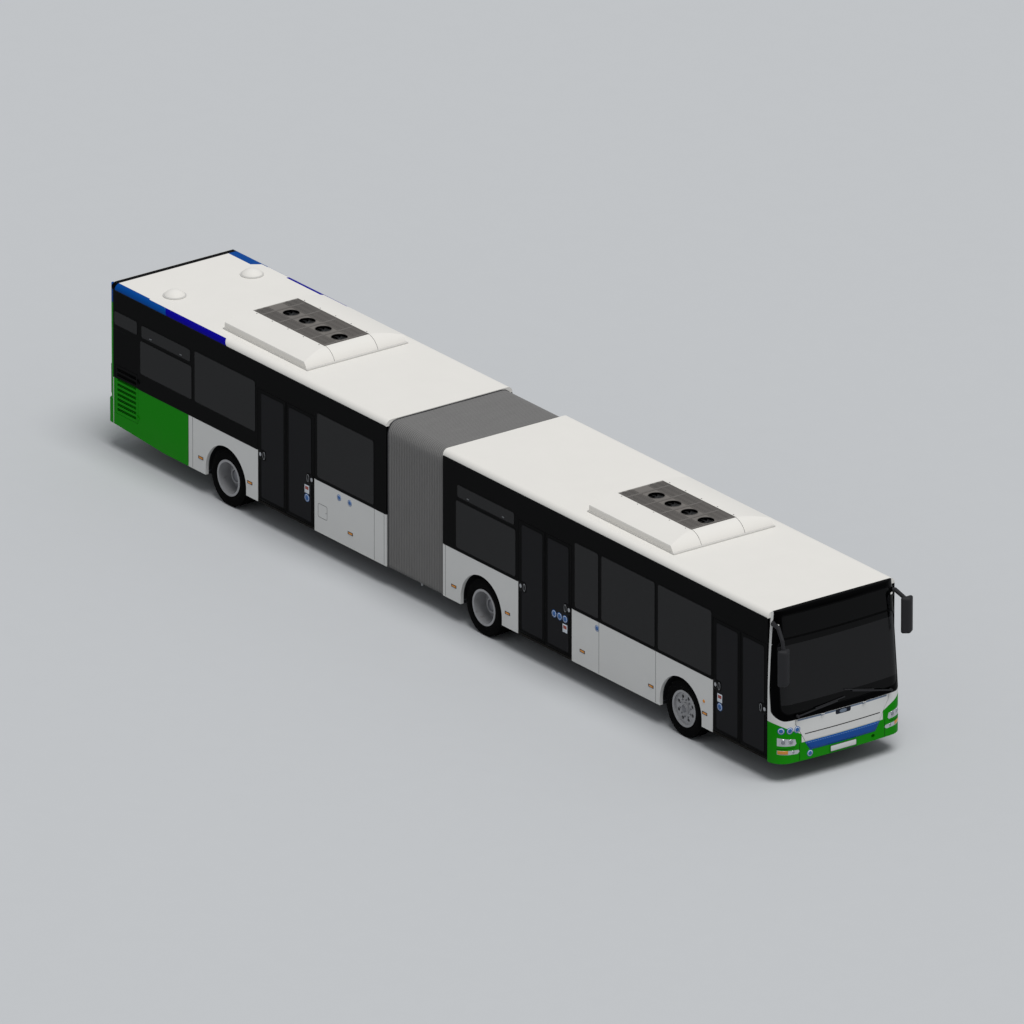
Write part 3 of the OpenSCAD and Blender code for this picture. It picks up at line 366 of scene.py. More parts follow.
# Rear: a black band at the window, green below with a white bumper, blue corners at the roof
back = gloss("rear_panel_paint")
layered = back.over(white, back.box(z=(0.2, belt_z)), green)
layered = back.over(layered, back.box(z=(belt_z, roof_line)), black)
layered = back.over(layered, back.both(back.above(back.math("ABSOLUTE", back.y), 1.187),
                                       back.above(back.z, roof_line)), blue)
edge_trim = back.both(back.box(x=(-8.956, -8.8)), back.above(back.z, 2.76))
layered = back.over(layered, edge_trim, black)
side_corner = back.both(back.above(back.math("ABSOLUTE", back.y), 1.2),
                        back.box(x=(-9.2, -8.9), z=(belt_z, roof_line)))
layered = back.over(layered, side_corner, green)
layered = back.over(layered, back.both(side_corner, back.above(back.z, 2.55)), blue)
wear_paint(("rear_panel", "engine_hatch"), back, layered)


# ---- Shapes shared by the small parts ----
# Every fitted part below is one or more closed shapes of whole arrays: points (n, 3), quads and
# triangles. The first parts that need them are the panel joints and trims on the walls.

def piece(name, shapes, material, body, smooth=True):
    """Joins shapes (points, quads, triangles) into one mesh that rides on a CAD body: each
    shape's corner numbers are raised by the number of points before it."""
    points, faces, before = [], [], 0
    for shape_points, quads, triangles in shapes:
        points.append(shape_points)
        faces += (quads + before).tolist() + (triangles + before).tolist()
        before += len(shape_points)
    mesh = bpy.data.meshes.new(name)
    mesh.from_pydata(np.concatenate(points).tolist(), [], faces)
    mesh.polygons.foreach_set("use_smooth", np.full(len(mesh.polygons), smooth))
    mesh.materials.append(material)
    made = bpy.data.objects.new(name, mesh)
    bpy.context.scene.collection.objects.link(made)
    if body:
        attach(made, body)
    return made


no_faces = np.zeros((0, 3), int)


def blocks(centres, halves, radius):
    """Rounded blocks: on a 4 x 4 x 4 lattice's outer points, each point is the nearest point of
    the block less its radius, plus the radius along the direction from there."""
    centres = np.atleast_2d(np.array(centres, float))
    halves = np.broadcast_to(np.array(halves, float), centres.shape)
    step = np.arange(4)
    lattice = np.stack(np.meshgrid(step, step, step, indexing="ij"), -1).reshape(-1, 3)
    shell = ((lattice == 0) | (lattice == 3)).any(1)
    number = np.full(64, -1)
    number[shell] = np.arange(shell.sum())
    lattice = lattice[shell]
    inner = np.where(lattice < 2, -1, 1)
    out = np.where(lattice == 0, -1, np.where(lattice == 3, 1, 0)).astype(float)
    out /= np.linalg.norm(out, axis=1)[:, None]
    points = (centres[:, None] + inner * (halves[:, None] - radius) + out * radius).reshape(-1, 3)
    a, b = [g.ravel() for g in np.meshgrid(np.arange(3), np.arange(3), indexing="ij")]
    quads = []
    for axis in range(3):
        for end in (0, 3):
            corner = []
            for da, db in ((0, 0), (1, 0), (1, 1), (0, 1)):
                spot = np.zeros((9, 3), int)
                spot[:, axis] = end
                spot[:, (axis + 1) % 3] = a + da
                spot[:, (axis + 2) % 3] = b + db
                corner.append(number[spot @ np.array([16, 4, 1])])
            face = np.stack(corner, 1)
            quads.append(face if end else face[:, ::-1])
    quads = np.concatenate(quads)
    shift = np.arange(len(centres))[:, None, None] * shell.sum()
    return points, (quads[None] + shift).reshape(-1, 4), no_faces


def domes(centres, right, up, half, height, power=2.0, sink=0.002, sides=28, rings=5):
    """Crowned buttons: at share s of the way out and angle t, a point is the centre + s (half
    width cos t, half height sin t), each to the power 2 / power, raised by height (1 - s^3);
    a rim and a flat back close it, sink behind the surface."""
    centres = np.atleast_2d(np.array(centres, float))
    right, up = np.array(right, float), np.array(up, float)
    normal = np.cross(right, up)
    t = np.arange(sides) * math.tau / sides
    round_ = [np.sign(f) * np.abs(f) ** (2 / power) for f in (np.cos(t), np.sin(t))]
    share = np.linspace(0, 1, rings + 1)[1:]
    out = [share[:, None] * half[0] * round_[0], share[:, None] * half[1] * round_[1],
           np.repeat(height * (1 - share[:, None] ** 3), sides, 1)]
    out = np.stack([np.concatenate([axis, axis[-1:]]) for axis in out], -1)
    out[-1, :, 2] = -sink
    flat = np.concatenate([out.reshape(-1, 3), [[0, 0, height], [0, 0, -sink]]])
    points = centres[:, None] + flat @ np.stack([right, up, normal])
    k = np.arange(sides)
    after = (k + 1) % sides
    quads = np.concatenate([np.stack([r * sides + k, (r + 1) * sides + k, (r + 1) * sides + after,
                                      r * sides + after], 1) for r in range(rings)])
    top = len(flat) - 2
    triangles = np.concatenate([np.stack([np.full(sides, top), k, after], 1),
                                np.stack([np.full(sides, top + 1), rings * sides + after,
                                          rings * sides + k], 1)])
    shift = np.arange(len(centres))[:, None, None] * len(flat)
    return points.reshape(-1, 3), (quads[None] + shift).reshape(-1, 4), \
        (triangles[None] + shift).reshape(-1, 3)


def swept(path, across, profile, closed=True):
    """A profile (side, out) carried along a path in a plane: a point is the path's point + side
    times (direction x across) + out times across. A closed path joins up; an open one has
    flat ends."""
    path, across, profile = (np.array(a, float) for a in (path, across, profile))
    if closed:
        along = np.roll(path, -1, 0) - np.roll(path, 1, 0)
    else:
        along = np.gradient(path, axis=0)
    along /= np.linalg.norm(along, axis=1)[:, None]
    sideways = np.cross(along, across)
    points = path[:, None] + sideways[:, None] * profile[None, :, :1] + across * profile[None, :, 1:]
    n, m = len(path), len(profile)
    i, j = [g.ravel() for g in np.meshgrid(np.arange(n if closed else n - 1), np.arange(m),
                                           indexing="ij")]
    quads = np.stack([i * m + j, i * m + (j + 1) % m, (i + 1) % n * m + (j + 1) % m,
                      (i + 1) % n * m + j], 1)
    triangles = no_faces
    points = points.reshape(-1, 3)
    if not closed:
        ends = np.stack([path[0], path[-1]])
        k = np.arange(m)
        triangles = np.concatenate([
            np.stack([np.full(m, n * m), (k + 1) % m, k], 1),
            np.stack([np.full(m, n * m + 1), (n - 1) * m + k, (n - 1) * m + (k + 1) % m], 1)])
        points = np.concatenate([points, ends])
    return points, quads, triangles


def circle_profile(radius, sides=10):
    """A circle as (side, out), turned so that a sweep's faces look outwards."""
    t = np.arange(sides) * math.tau / sides
    return np.stack([np.cos(t), np.sin(t)], 1) * radius


def ring_path(x, y, z, radius, sides=40):
    """A level circle: at angle t a point is (x + r cos t, y + r sin t, z)."""
    t = np.arange(sides) * math.tau / sides
    return np.stack([x + radius * np.cos(t), y + radius * np.sin(t), np.full(sides, float(z))], 1)


def rounded_path(low, high, radius, level, plane, corner=6):
    """A closed rectangle with rounded corners: quarter circles about the four inner corners.
    plane names the two axes it is drawn in, and level is its place on the third."""
    t = (np.arange(4)[:, None] * 90 + np.linspace(0, 90, corner)[None]) * math.pi / 180
    right = np.array([high[0], low[0], low[0], high[0]]) - radius * np.array([1, -1, -1, 1])
    top = np.array([high[1], high[1], low[1], low[1]]) - radius * np.array([1, 1, -1, -1])
    a = (right[:, None] + radius * np.cos(t)).ravel()
    b = (top[:, None] + radius * np.sin(t)).ravel()
    third = ({0, 1, 2} - set(plane)).pop()
    path = np.full((len(a), 3), float(level))
    path[:, plane[0]], path[:, plane[1]] = a, b
    path[:, third] = level
    return path


# ---- Panel joints and rub strips ----
# The skirt panels are screwed to the frame edge to edge. A thin dark sealing bead stands in
# each joint and along the belt, and a pressed water rail runs over the windows.

bead = Finish("sealing_bead", roughness=0.6, specular=0.06)
bead_black = bead.done(srgb(22, 22, 23), mottle=0.15, grain=0.3, scale=300.0, depth=0.0006)
skirt_low, joint_half, joint_out = 0.385, 0.0032, 0.0012


def upright_beads(stations, low, high, sign):
    """Upright beads at stations along a wall."""
    centres = [(x, sign * half_width, (low + high) / 2) for x in stations]
    return blocks(centres, (joint_half, joint_out, (high - low) / 2), 0.001)


def belt_beads(spans, z, sign, half=0.004, out=0.0016):
    """Lengthwise beads at height z, one for each span of X."""
    spans = np.array(spans)
    centres = np.stack([spans.mean(1), np.full(len(spans), sign * half_width),
                        np.full(len(spans), z)], 1)
    halves = np.stack([(spans[:, 1] - spans[:, 0]) / 2, np.full(len(spans), out),
                       np.full(len(spans), half)], 1)
    return blocks(centres, halves, 0.0011)


front_spans = [(0.02, 1.98), (3.445, 7.115)]
rear_spans = [(-8.22, -4.99), (-3.43, -1.53)]
piece("front_joint_beads", [
    upright_beads((0.065, 4.14, 5.634), skirt_low, belt_z, -1),
    upright_beads((0.065, 2.6, 4.14, 5.634, 7.2, 8.2), skirt_low, belt_z, 1),
    belt_beads(front_spans, belt_z, -1), belt_beads([(0.02, 8.55)], belt_z, 1),
    belt_beads([(0.02, 8.55)], 2.771, -1, 0.006, 0.004),
    belt_beads([(0.02, 8.55)], 2.771, 1, 0.006, 0.004)], bead_black, "front_section")
piece("rear_joint_beads", [
    upright_beads((-6.744, -1.837, -1.575), skirt_low, belt_z, -1),
    upright_beads((seam_green,), skirt_low + 0.05, belt_z, -1),
    upright_beads((-8.0, seam_green, -6.744, -3.9, -1.837), skirt_low + 0.05, belt_z, 1),
    upright_beads((-8.212,), belt_z, 2.76, -1),
    belt_beads(rear_spans, belt_z, -1), belt_beads([(-8.9, -1.53)], belt_z, 1),
    belt_beads([(-8.9, -8.24)], 2.11, -1),
    belt_beads([(-8.9, -1.53)], 2.771, -1, 0.006, 0.004),
    belt_beads([(-8.9, -1.53)], 2.771, 1, 0.006, 0.004)], bead_black, "rear_section")


strip = Finish("corner_strip", roughness=0.5, specular=0.1)
strip_light = strip.done(srgb(196, 198, 196), mottle=0.08, grain=0.2, scale=300.0, depth=0.0004)
piece("tail_corner_strip", [blocks([(tail_edge, -half_width, 0.86)], (0.007, 0.002, 0.4), 0.0015)],
      strip_light, "rear_section")


# ---- Side and rear glass ----
# Dark tinted toughened panes bonded over the window openings, each with a rubber gasket round
# its edge; the tilting panes have a second frame and a small catch.

glass = Finish("tinted_glass", roughness=0.06, specular=0.06)
glass.shader.inputs["Transmission Weight"].default_value = 0.15
screen_bands = glass.math("ADD", glass.box(z=(1.1, 1.33)), glass.box(z=(2.3, 2.9)))
printed = glass.both(glass.above(glass.x, 8.4), screen_bands)
tint = glass.over(srgb(38, 38, 39), printed, srgb(9, 9, 10))
tinted = glass.done(tint, mottle=0.08, uneven=0.02, scale=3.0)
for name in ("front_side_glass", "rear_glass", "front_glass"):
    nodes[name].data.materials.clear()
    nodes[name].data.materials.append(tinted)

rubber = Finish("gasket_rubber", roughness=0.62, specular=0.06)
gasket_black = rubber.done(srgb(8, 8, 9), mottle=0.2, grain=0.25, scale=500.0, depth=0.0004)
gasket_profile = [(-0.009, -0.003), (-0.006, 0.0022), (0.006, 0.0022), (0.009, -0.003)]
win_low, win_high, lap = 1.325, 2.4, 0.02
split_z, tilt_z = 2.105, 2.2


def window_gaskets(bays, sign):
    """One gasket for each bay (rear, front, low, high), swept round the pane's edge."""
    made = []
    for x0, x1, z0, z1 in bays:
        path = rounded_path((x0 - lap, z0 - lap), (x1 + lap, z1 + lap), 0.044, sign * half_width, (0, 2))
        if sign > 0:
            path = path[::-1]
        made.append(swept(path, (0, sign, 0), gasket_profile[::-1]))
    return made


def short(low, high):
    """A tilting pane is set in by 35 mm at each end."""
    return low + 0.035, high - 0.035


front_stretch = (doorways[1][0] - doorways[2][1] - 0.056 - 0.222 - 0.593 - 0.086) / 2
bay_a = (doorways[1][0] - 0.056 - front_stretch, doorways[1][0] - 0.056)
bay_b = (bay_a[0] - 0.111 - front_stretch, bay_a[0] - 0.111)
bay_c = (bay_b[0] - 0.704, bay_b[0] - 0.111)
bay_d = (0.36, doorways[2][0] - 0.086)
bay_e = (doorways[3][1] + 0.086, -1.87)
bay_h = (rear_edge + 0.042, rear_edge + 0.637)
bay_g = (bay_h[1] + 0.111, bay_h[1] + 1.482)
bay_f = (bay_g[1] + 0.111, doorways[3][0] - 0.086)
front_bays = [(*bay_a, win_low, win_high), (*bay_b, win_low, win_high), (*bay_c, win_low, win_high),
              (*bay_d, win_low, split_z), (*short(*bay_d), tilt_z, 2.38)]
rear_bays = [(*bay_e, win_low, win_high), (*bay_f, 1.56, win_high), (*bay_g, 1.56, split_z),
             (*short(*bay_g), tilt_z, 2.38), (*bay_h, tilt_z, win_high)]
front_left = front_bays + [(doorways[1][0] + 0.03, mask_edge - 0.11, win_low - 0.15, win_high),
                           (bay_d[1] + 0.111, bay_c[0] - 0.111, win_low, win_high)]
rear_left = rear_bays + [(bay_f[1] + 0.111, bay_e[0] - 0.111, win_low, win_high)]
piece("front_window_gaskets", window_gaskets(front_bays, -1) + window_gaskets(front_left, 1),
      gasket_black, "front_section")
piece("rear_window_gaskets", window_gaskets(rear_bays, -1) + window_gaskets(rear_left, 1),
      gasket_black, "rear_section")

catches = Finish("catch_metal", roughness=0.35, metallic=0.9)
catch_steel = catches.done(srgb(120, 122, 125), mottle=0.1)
for name, bays, body in (("front_window_catches", (bay_d,), "front_section"),
                         ("rear_window_catches", (bay_g,), "rear_section")):
    spots = [(x0 + (x1 - x0) * part, sign * (half_width + 0.001), tilt_z + 0.03)
             for x0, x1 in bays for part in (0.2, 0.8) for sign in (-1, 1)]
    piece(name, [blocks(spots, (0.03, 0.005, 0.009), 0.004)], catch_steel, body)


# ---- Doors ----
# Black leaves of aluminium section with bonded glass, rubber finger guards where they meet,
# a bright grab bar inside and a plain opener plate outside. Each leaf turns on its column.

leaf_low, leaf_high = 0.416, 2.324
glass_low, glass_high = leaf_low + 0.07, leaf_high - 0.074
opener_z = 1.21
bar_low, bar_high, bar_out = 1.02, 1.75, 0.062
bar_metal = Finish("grab_bar_steel", roughness=0.28, metallic=1.0)
bar_steel = bar_metal.done(srgb(178, 180, 183), mottle=0.08, scale=200.0)
plate_finish = Finish("opener_plate", roughness=0.5, specular=0.06)
plate_black = plate_finish.over(
    srgb(10, 10, 11), plate_finish.above(plate_finish.noise(90.0, 2.0), 0.62, 0.04), srgb(18, 18, 19))
plate_black = plate_finish.done(plate_black, grain=0.3, scale=400.0, depth=0.0004)
button_finish = Finish("opener_button", roughness=0.3, coat=0.5)
button_grey = button_finish.done(srgb(150, 152, 156), mottle=0.1)

for number, (rear_end, front_end) in doorways.items():
    middle, width = (rear_end + front_end) / 2, (front_end - rear_end) / 2
    for which, hinge_x, way in (("front", front_end, -1), ("rear", rear_end, 1)):
        body = f"door_{number}_{which}"
        near, far = hinge_x + way * 0.006, hinge_x + way * (width - 0.004)
        pane = sorted((near + way * 0.098, far - way * 0.078))
        leaf = gloss(f"{body}_finish")
        seen = leaf.rounded(leaf.x, leaf.z, ((pane[0] + pane[1]) / 2, (glass_low + glass_high) / 2),
                            ((pane[1] - pane[0]) / 2 + lap, (glass_high - glass_low) / 2 + lap), 0.044)
        frame_black = leaf.over(srgb(5, 5, 6), seen, srgb(36, 36, 38))
        finish = leaf.done(frame_black, mottle=0.08, uneven=0.03, scale=40.0)
        nodes[body].data.materials.clear()
        nodes[body].data.materials.append(finish)
        guard_x = far - way * 0.012
        gasket = rounded_path((pane[0] - lap, glass_low - lap), (pane[1] + lap, glass_high + lap),
                              0.044, -half_width, (0, 2))
        piece(f"{body}_rubbers", [
            swept(gasket, (0, -1, 0), gasket_profile[::-1]),
            blocks([(guard_x, -half_width, (leaf_low + leaf_high) / 2)],
                   (0.0115, 0.0022, (leaf_high - leaf_low) / 2 - 0.02), 0.002),
            blocks([((near + far) / 2, -half_width, leaf_low + 0.022)],
                   (width / 2 - 0.012, 0.0022, 0.016), 0.002)],
            gasket_black, body)
        bar_x = far - way * 0.075
        bar_y = -half_width + 0.045
        reach = np.array([(bar_x, bar_y, bar_low), (bar_x, bar_y + 0.05, bar_low),
                          (bar_x, bar_y + bar_out, bar_low + 0.03),
                          (bar_x, bar_y + bar_out, bar_high - 0.03),
                          (bar_x, bar_y + 0.05, bar_high), (bar_x, bar_y, bar_high)])
        piece(f"{body}_grab_bar", [swept(reach, (1, 0, 0), circle_profile(0.013), closed=False)],
              bar_steel, body)
        plate_x = near + way * 0.112
        piece(f"{body}_opener_plate", [
            domes([(plate_x, -half_width - 0.001, opener_z)], (1, 0, 0), (0, 0, 1), (0.102, 0.09), 0.006,
                  power=5.0, sides=40)], plate_black, body)
        oval = ring_path(0, 0, 0, 1.0)[:, [0, 2, 1]] * (0.026, 1, 0.062)
        button_x = plate_x - way * 0.045
        piece(f"{body}_opener_button", [
            swept(oval + (plate_x + way * 0.052, -half_width - 0.006, opener_z), (0, -1, 0),
                  circle_profile(0.003, 6)),
            domes([(button_x, -half_width - 0.0065, opener_z)], (1, 0, 0), (0, 0, 1), (0.03, 0.034),
                  0.005)], button_grey, body)


# ---- Bellows ----
# Coated fabric sewn in deep pleats between the two bodies, hung as an upside-down U over the
# turntable and clamped at each end in an aluminium frame.

bellows_low, bellows_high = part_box("bellows")
bellows_half = (bellows_high.y - bellows_low.y) / 2
pleats, pleat_depth = 34, 0.062
cloth_in = 0.004
edge_radius = 0.2


def arch_path(inset, count=150):
    """The U upside down in Y and Z, from the right foot over the roof to the left foot, at an
    even step: straight sides, quarter circles of the edge radius and a flat top."""
    half, top, low = bellows_half - inset, bellows_high.z - inset, bellows_low.z
    radius = edge_radius - inset
    t = np.linspace(0, math.pi / 2, 24)
    right = np.stack([-half + radius - radius * np.cos(t), top - radius + radius * np.sin(t)], 1)
    left = right[::-1] * np.array([-1, 1])
    corners = np.concatenate([[(-half, low)], right, left, [(half, low)]])
    gone = np.concatenate([[0], np.cumsum(np.linalg.norm(np.diff(corners, axis=0), axis=1))])
    even = np.linspace(0, gone[-1], count)
    return np.stack([np.interp(even, gone, corners[:, 0]), np.interp(even, gone, corners[:, 1])], 1), even


def pleated():
    """At length x and place s along the U, a point lies between the outer U and one pleat depth
    inside it, by |sin| to the power 0.8 of the pleats' phase, so that crests are broad and
    valleys sharp. Its UV is (s, the length sewn so far), in metres."""
    across = 8 * pleats + 1
    x = np.linspace(bellows_low.x + 0.001, bellows_high.x - 0.001, across)
    phase = np.linspace(0, pleats * math.pi, across)
    deep = cloth_in + pleat_depth * (1 - np.abs(np.sin(phase)) ** 0.8)
    outer, s = arch_path(0.0)
    inner, _ = arch_path(0.1)
    share = (deep / 0.1)[:, None, None]
    ring = outer[None] * (1 - share) + inner[None] * share
    ring[..., 1] += 0.003 * np.sin(s * 7.3)[None] * np.sin(phase / 2)[:, None] ** 2
    points = np.concatenate([np.broadcast_to(x[:, None, None], ring.shape[:2] + (1,)), ring], -1)
    sewn = np.concatenate([[0], np.cumsum(np.hypot(np.diff(x), np.diff(deep)))])
    return points, s, sewn


bellows_points, bellows_s, bellows_sewn = pleated()
rows, columns = bellows_points.shape[:2]
i, j = [g.ravel() for g in np.meshgrid(np.arange(rows - 1), np.arange(columns - 1), indexing="ij")]
bellows_quads = np.stack([i * columns + j, (i + 1) * columns + j, (i + 1) * columns + j + 1,
                          i * columns + j + 1], 1)
coated = Finish("bellows_cloth", roughness=0.8, specular=0.1, by_uv=True)
weave = coated.both(coated.wave(coated.x, 0.004), coated.wave(coated.y, 0.004))
crest = coated.wave(coated.y, float(bellows_sewn[-1]) / pleats)
# The cloth is a lighter grey along each pleat's crest: a painted highlight.
cloth_grey = coated.over(srgb(124, 123, 122), coated.math("MULTIPLY", crest, 0.35), srgb(152, 150, 148))
stitch = coated.both(coated.above(coated.wave(coated.x, 0.012), 0.5, 0.1),
                     coated.above(crest, 0.985, 0.005))
cloth_grey = coated.done(coated.over(cloth_grey, stitch, srgb(140, 138, 134)), mottle=0.12,
                         relief=weave, grain=0.4, depth=0.0006)
bellows_cloth = piece("bellows_cloth", [(bellows_points.reshape(-1, 3), bellows_quads, no_faces)],
                      cloth_grey, None)
uv = bellows_cloth.data.uv_layers.new(name="sewn")
corner = np.zeros(len(bellows_cloth.data.loops), int)
bellows_cloth.data.loops.foreach_get("vertex_index", corner)
lengths = np.stack(np.broadcast_arrays(bellows_s[None, :], bellows_sewn[:, None]), -1).reshape(-1, 2)
uv.data.foreach_set("uv", lengths[corner].astype(np.float32).ravel())
thick = bellows_cloth.modifiers.new("cloth", "SOLIDIFY")
thick.thickness = 0.002
thick.offset = 0.0
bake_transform(bellows_cloth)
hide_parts("bellows")

frame_metal = Finish("bellows_frame", roughness=0.42, metallic=0.75)
frame_grey = frame_metal.done(srgb(62, 62, 64), mottle=0.15, scale=160.0)
frame_profile = [(-0.014, -0.045), (-0.014, 0.003), (-0.004, 0.006), (0.004, 0.006), (0.014, 0.003),
                 (0.014, -0.045)]


def clamp_frame(x):
    """The U's path at x, with the frame's profile carried round it, open at the feet: side runs
    along the bus and out is square to the U."""
    path, _ = arch_path(0.0, 90)
    along = np.gradient(path, axis=0)
    along /= np.linalg.norm(along, axis=1)[:, None]
    outward = np.stack([-along[:, 1], along[:, 0]], 1)
    profile = np.array(frame_profile)
    points = np.zeros((len(path), len(profile), 3))
    points[..., 0] = x + profile[None, :, 0]
    points[..., 1:] = path[:, None] + outward[:, None] * profile[None, :, 1:]
    n, m = points.shape[:2]
    a, b = [g.ravel() for g in np.meshgrid(np.arange(n - 1), np.arange(m), indexing="ij")]
    quads = np.stack([a * m + b, a * m + (b + 1) % m, (a + 1) * m + (b + 1) % m, (a + 1) * m + b], 1)
    k = np.arange(m)
    ends = np.concatenate([np.stack([np.full(m, n * m), k, (k + 1) % m], 1),
                           np.stack([np.full(m, n * m + 1), (n - 1) * m + (k + 1) % m,
                                     (n - 1) * m + k], 1)])
    middle = np.stack([points[0].mean(0), points[-1].mean(0)])
    return np.concatenate([points.reshape(-1, 3), middle]), quads, ends


for name, x, body in (("bellows_frame_front", bellows_high.x - 0.012, "front_section"),
                      ("bellows_frame_rear", bellows_low.x + 0.012, "rear_section")):
    piece(name, [clamp_frame(x)], frame_grey, body)


# ---- Front ----
# Moulded mask with the windscreen bonded in it: gaskets, bumper joints, a blank number plate,
# lamps behind clear covers, round stick-on discs and small marker lamps over the screen.

nose_x = 8.885
face_radius, corner_radius, lean = 13.46, 0.28, math.radians(5.9)
knee_z = 1.10
corner_y = half_width - corner_radius
corner_x = nose_x - face_radius + math.sqrt((face_radius - corner_radius) ** 2 - corner_y ** 2)


def nose_at(y, z):
    """X of the nose at y and z: a bowed face x = c + sqrt(R^2 - y^2), round upright corners
    x = c' + sqrt(r^2 - (|y| - y')^2), leaning back by its angle above the knee."""
    side_y = np.clip(np.abs(y) - corner_y, 0, corner_radius - 1e-4)
    face = nose_x - face_radius + np.sqrt(face_radius ** 2 - np.minimum(np.abs(y), corner_y) ** 2)
    bowed = np.where(np.abs(y) > corner_y, corner_x + np.sqrt(corner_radius ** 2 - side_y ** 2), face)
    return bowed - np.maximum(z - knee_z, 0) * math.tan(lean)


def nose_patch(corners, out, sink=0.004, across=26, up=5):
    """A plate that follows the nose: y and z are mixed evenly from four corners (low left, low
    right, top right, top left), x is the nose's plus out on the face and less sink behind."""
    u, v = np.meshgrid(np.linspace(0, 1, across), np.linspace(0, 1, up), indexing="ij")
    c = np.array(corners, float)
    place = ((1 - u) * (1 - v))[..., None] * c[0] + (u * (1 - v))[..., None] * c[1] \
        + (u * v)[..., None] * c[2] + ((1 - u) * v)[..., None] * c[3]
    y, z = place[..., 0], place[..., 1]
    layers = []
    for depth in (out, -sink):
        scale = 1 + depth / corner_radius * (np.abs(y) > corner_y)
        side_y = np.where(np.abs(y) > corner_y, np.sign(y) * (corner_y + (np.abs(y) - corner_y) * scale), y)
        base = nose_at(y, z)
        over = np.where(np.abs(y) > corner_y, corner_x + (base - corner_x) * scale, base + depth)
        layers.append(np.stack([over, side_y, z], -1))
    n, m = u.shape
    i, j = [g.ravel() for g in np.meshgrid(np.arange(n - 1), np.arange(m - 1), indexing="ij")]
    quads = np.stack([i * m + j, (i + 1) * m + j, (i + 1) * m + j + 1, i * m + j + 1], 1)
    rim = np.concatenate([np.arange(n) * m, (n - 1) * m + np.arange(1, m),
                          np.arange(n - 2, -1, -1) * m + m - 1, np.arange(m - 2, 0, -1)])
    after = np.roll(rim, -1)
    walls = np.stack([rim, rim + n * m, after + n * m, after], 1)
    points = np.concatenate([layer.reshape(-1, 3) for layer in layers])
    return points, np.concatenate([quads, quads[:, ::-1] + n * m, walls]), no_faces


def square_patch(y0, y1, z0, z1, out, **how):
    """A plate on the nose between two places in Y and two heights."""
    return nose_patch([(y0, z0), (y1, z0), (y1, z1), (y0, z1)], out, **how)


screen_y, screen_z = 1.125, (1.19, 2.385)
sign_y, sign_z = 1.037, (2.44, 2.77)


def nose_gasket(y_half, z_low, z_high, radius):
    """A flat rubber bead round an opening: the rounded rectangle's points put on the nose."""
    path = rounded_path((-y_half, z_low), (y_half, z_high), radius, 0.0, (1, 2), corner=10)
    dense = []
    for a, b in zip(path, np.roll(path, -1, 0)):
        steps = max(1, int(np.linalg.norm(b - a) / 0.12))
        dense.append(a + (b - a) * np.arange(steps)[:, None] / steps)
    path = np.concatenate(dense)
    path[:, 0] = nose_at(path[:, 1], path[:, 2])
    return swept(path, (math.cos(lean), 0, math.sin(lean)), np.array(gasket_profile[::-1]) * (1.5, 1.3))


piece("front_gaskets", [nose_gasket(screen_y + lap, screen_z[0] - lap, screen_z[1] + lap, 0.13),
                        nose_gasket(sign_y + lap, sign_z[0] - lap, sign_z[1] + lap, 0.04)],
      gasket_black, "front_section")
piece("bumper_joints", [
    square_patch(y - 0.0035, y + 0.0035, 0.352, 0.648, 0.0014, across=3) for y in (-0.84, 0.84)] + [
    square_patch(-1.2, -0.93, 0.594, 0.6, 0.0014), square_patch(0.93, 1.2, 0.594, 0.6, 0.0014)],
    bead_black, "front_section")
panel_finish = Finish("lower_grille_paint", roughness=0.35, specular=0.2)
panel_dashes = panel_finish.both(panel_finish.between(panel_finish.z, 0.622, 0.632, 0.001),
                                 panel_finish.above(panel_finish.wave(panel_finish.y, 0.045), 0.3, 0.1))
panel_blue = panel_finish.done(panel_finish.over(blue, panel_dashes, srgb(96, 128, 168)), mottle=0.06,
                               uneven=0.03)
piece("bumper_grille", [nose_patch([(-0.64, 0.50), (0.64, 0.50), (0.74, 0.652), (-0.74, 0.652)], 0.003)],
      panel_blue, "front_section")

plate_finish = Finish("number_plate", roughness=0.35, specular=0.4)
border = plate_finish.rounded(plate_finish.y, plate_finish.z, (0.0, 0.425), (0.249, 0.044), 0.012, 0.001)
plate_colour = plate_finish.over(srgb(40, 40, 42), border, srgb(205, 206, 204))
plate_white = plate_finish.done(plate_colour, mottle=0.05)
piece("front_number_plate", [blocks([(nose_x + 0.0075, 0, 0.425)], (0.0035, 0.255, 0.052), 0.003)],
      plate_white, "front_section")

# Headlight covers are clear mouldings with fine upright ribs over bright round reflectors
cover = Finish("headlight_cover", roughness=0.12, coat=0.6)
ribs = cover.wave(cover.y, 0.014)
# Each rib is a lighter stripe in the cover's colour: a painted highlight on the ribs.
lamp_colour = cover.over(srgb(168, 170, 176), cover.math("MULTIPLY", ribs, 0.5), srgb(205, 208, 214))
cover_clear = cover.done(lamp_colour, mottle=0.1, relief=ribs, grain=0.35, depth=0.002)
nodes["headlights"].data.materials.clear()
nodes["headlights"].data.materials.append(cover_clear)
chrome_finish = Finish("reflector_chrome", roughness=0.12, metallic=1.0)
chrome = chrome_finish.done(srgb(205, 207, 210), mottle=0.06)
lens_finish = Finish("reflector_lens", roughness=0.08, coat=0.8)
lens_grey = lens_finish.done(srgb(120, 124, 132), mottle=0.15)


def on_nose(y, z, out):
    """The point of the nose at y and z, moved out along X."""
    return np.array([float(nose_at(np.float64(y), np.float64(z))) + out, y, z])


def face_axes(y):
    """Right and up on the nose at y: right is along the plan's tangent, away from its normal."""
    if abs(y) <= corner_y:
        angle = math.asin(y / face_radius)
    else:
        angle = math.copysign(math.asin(min((abs(y) - corner_y) / corner_radius, 1.0)), y)
    return (-math.sin(angle), math.cos(angle), 0.0), (0.0, 0.0, 1.0)


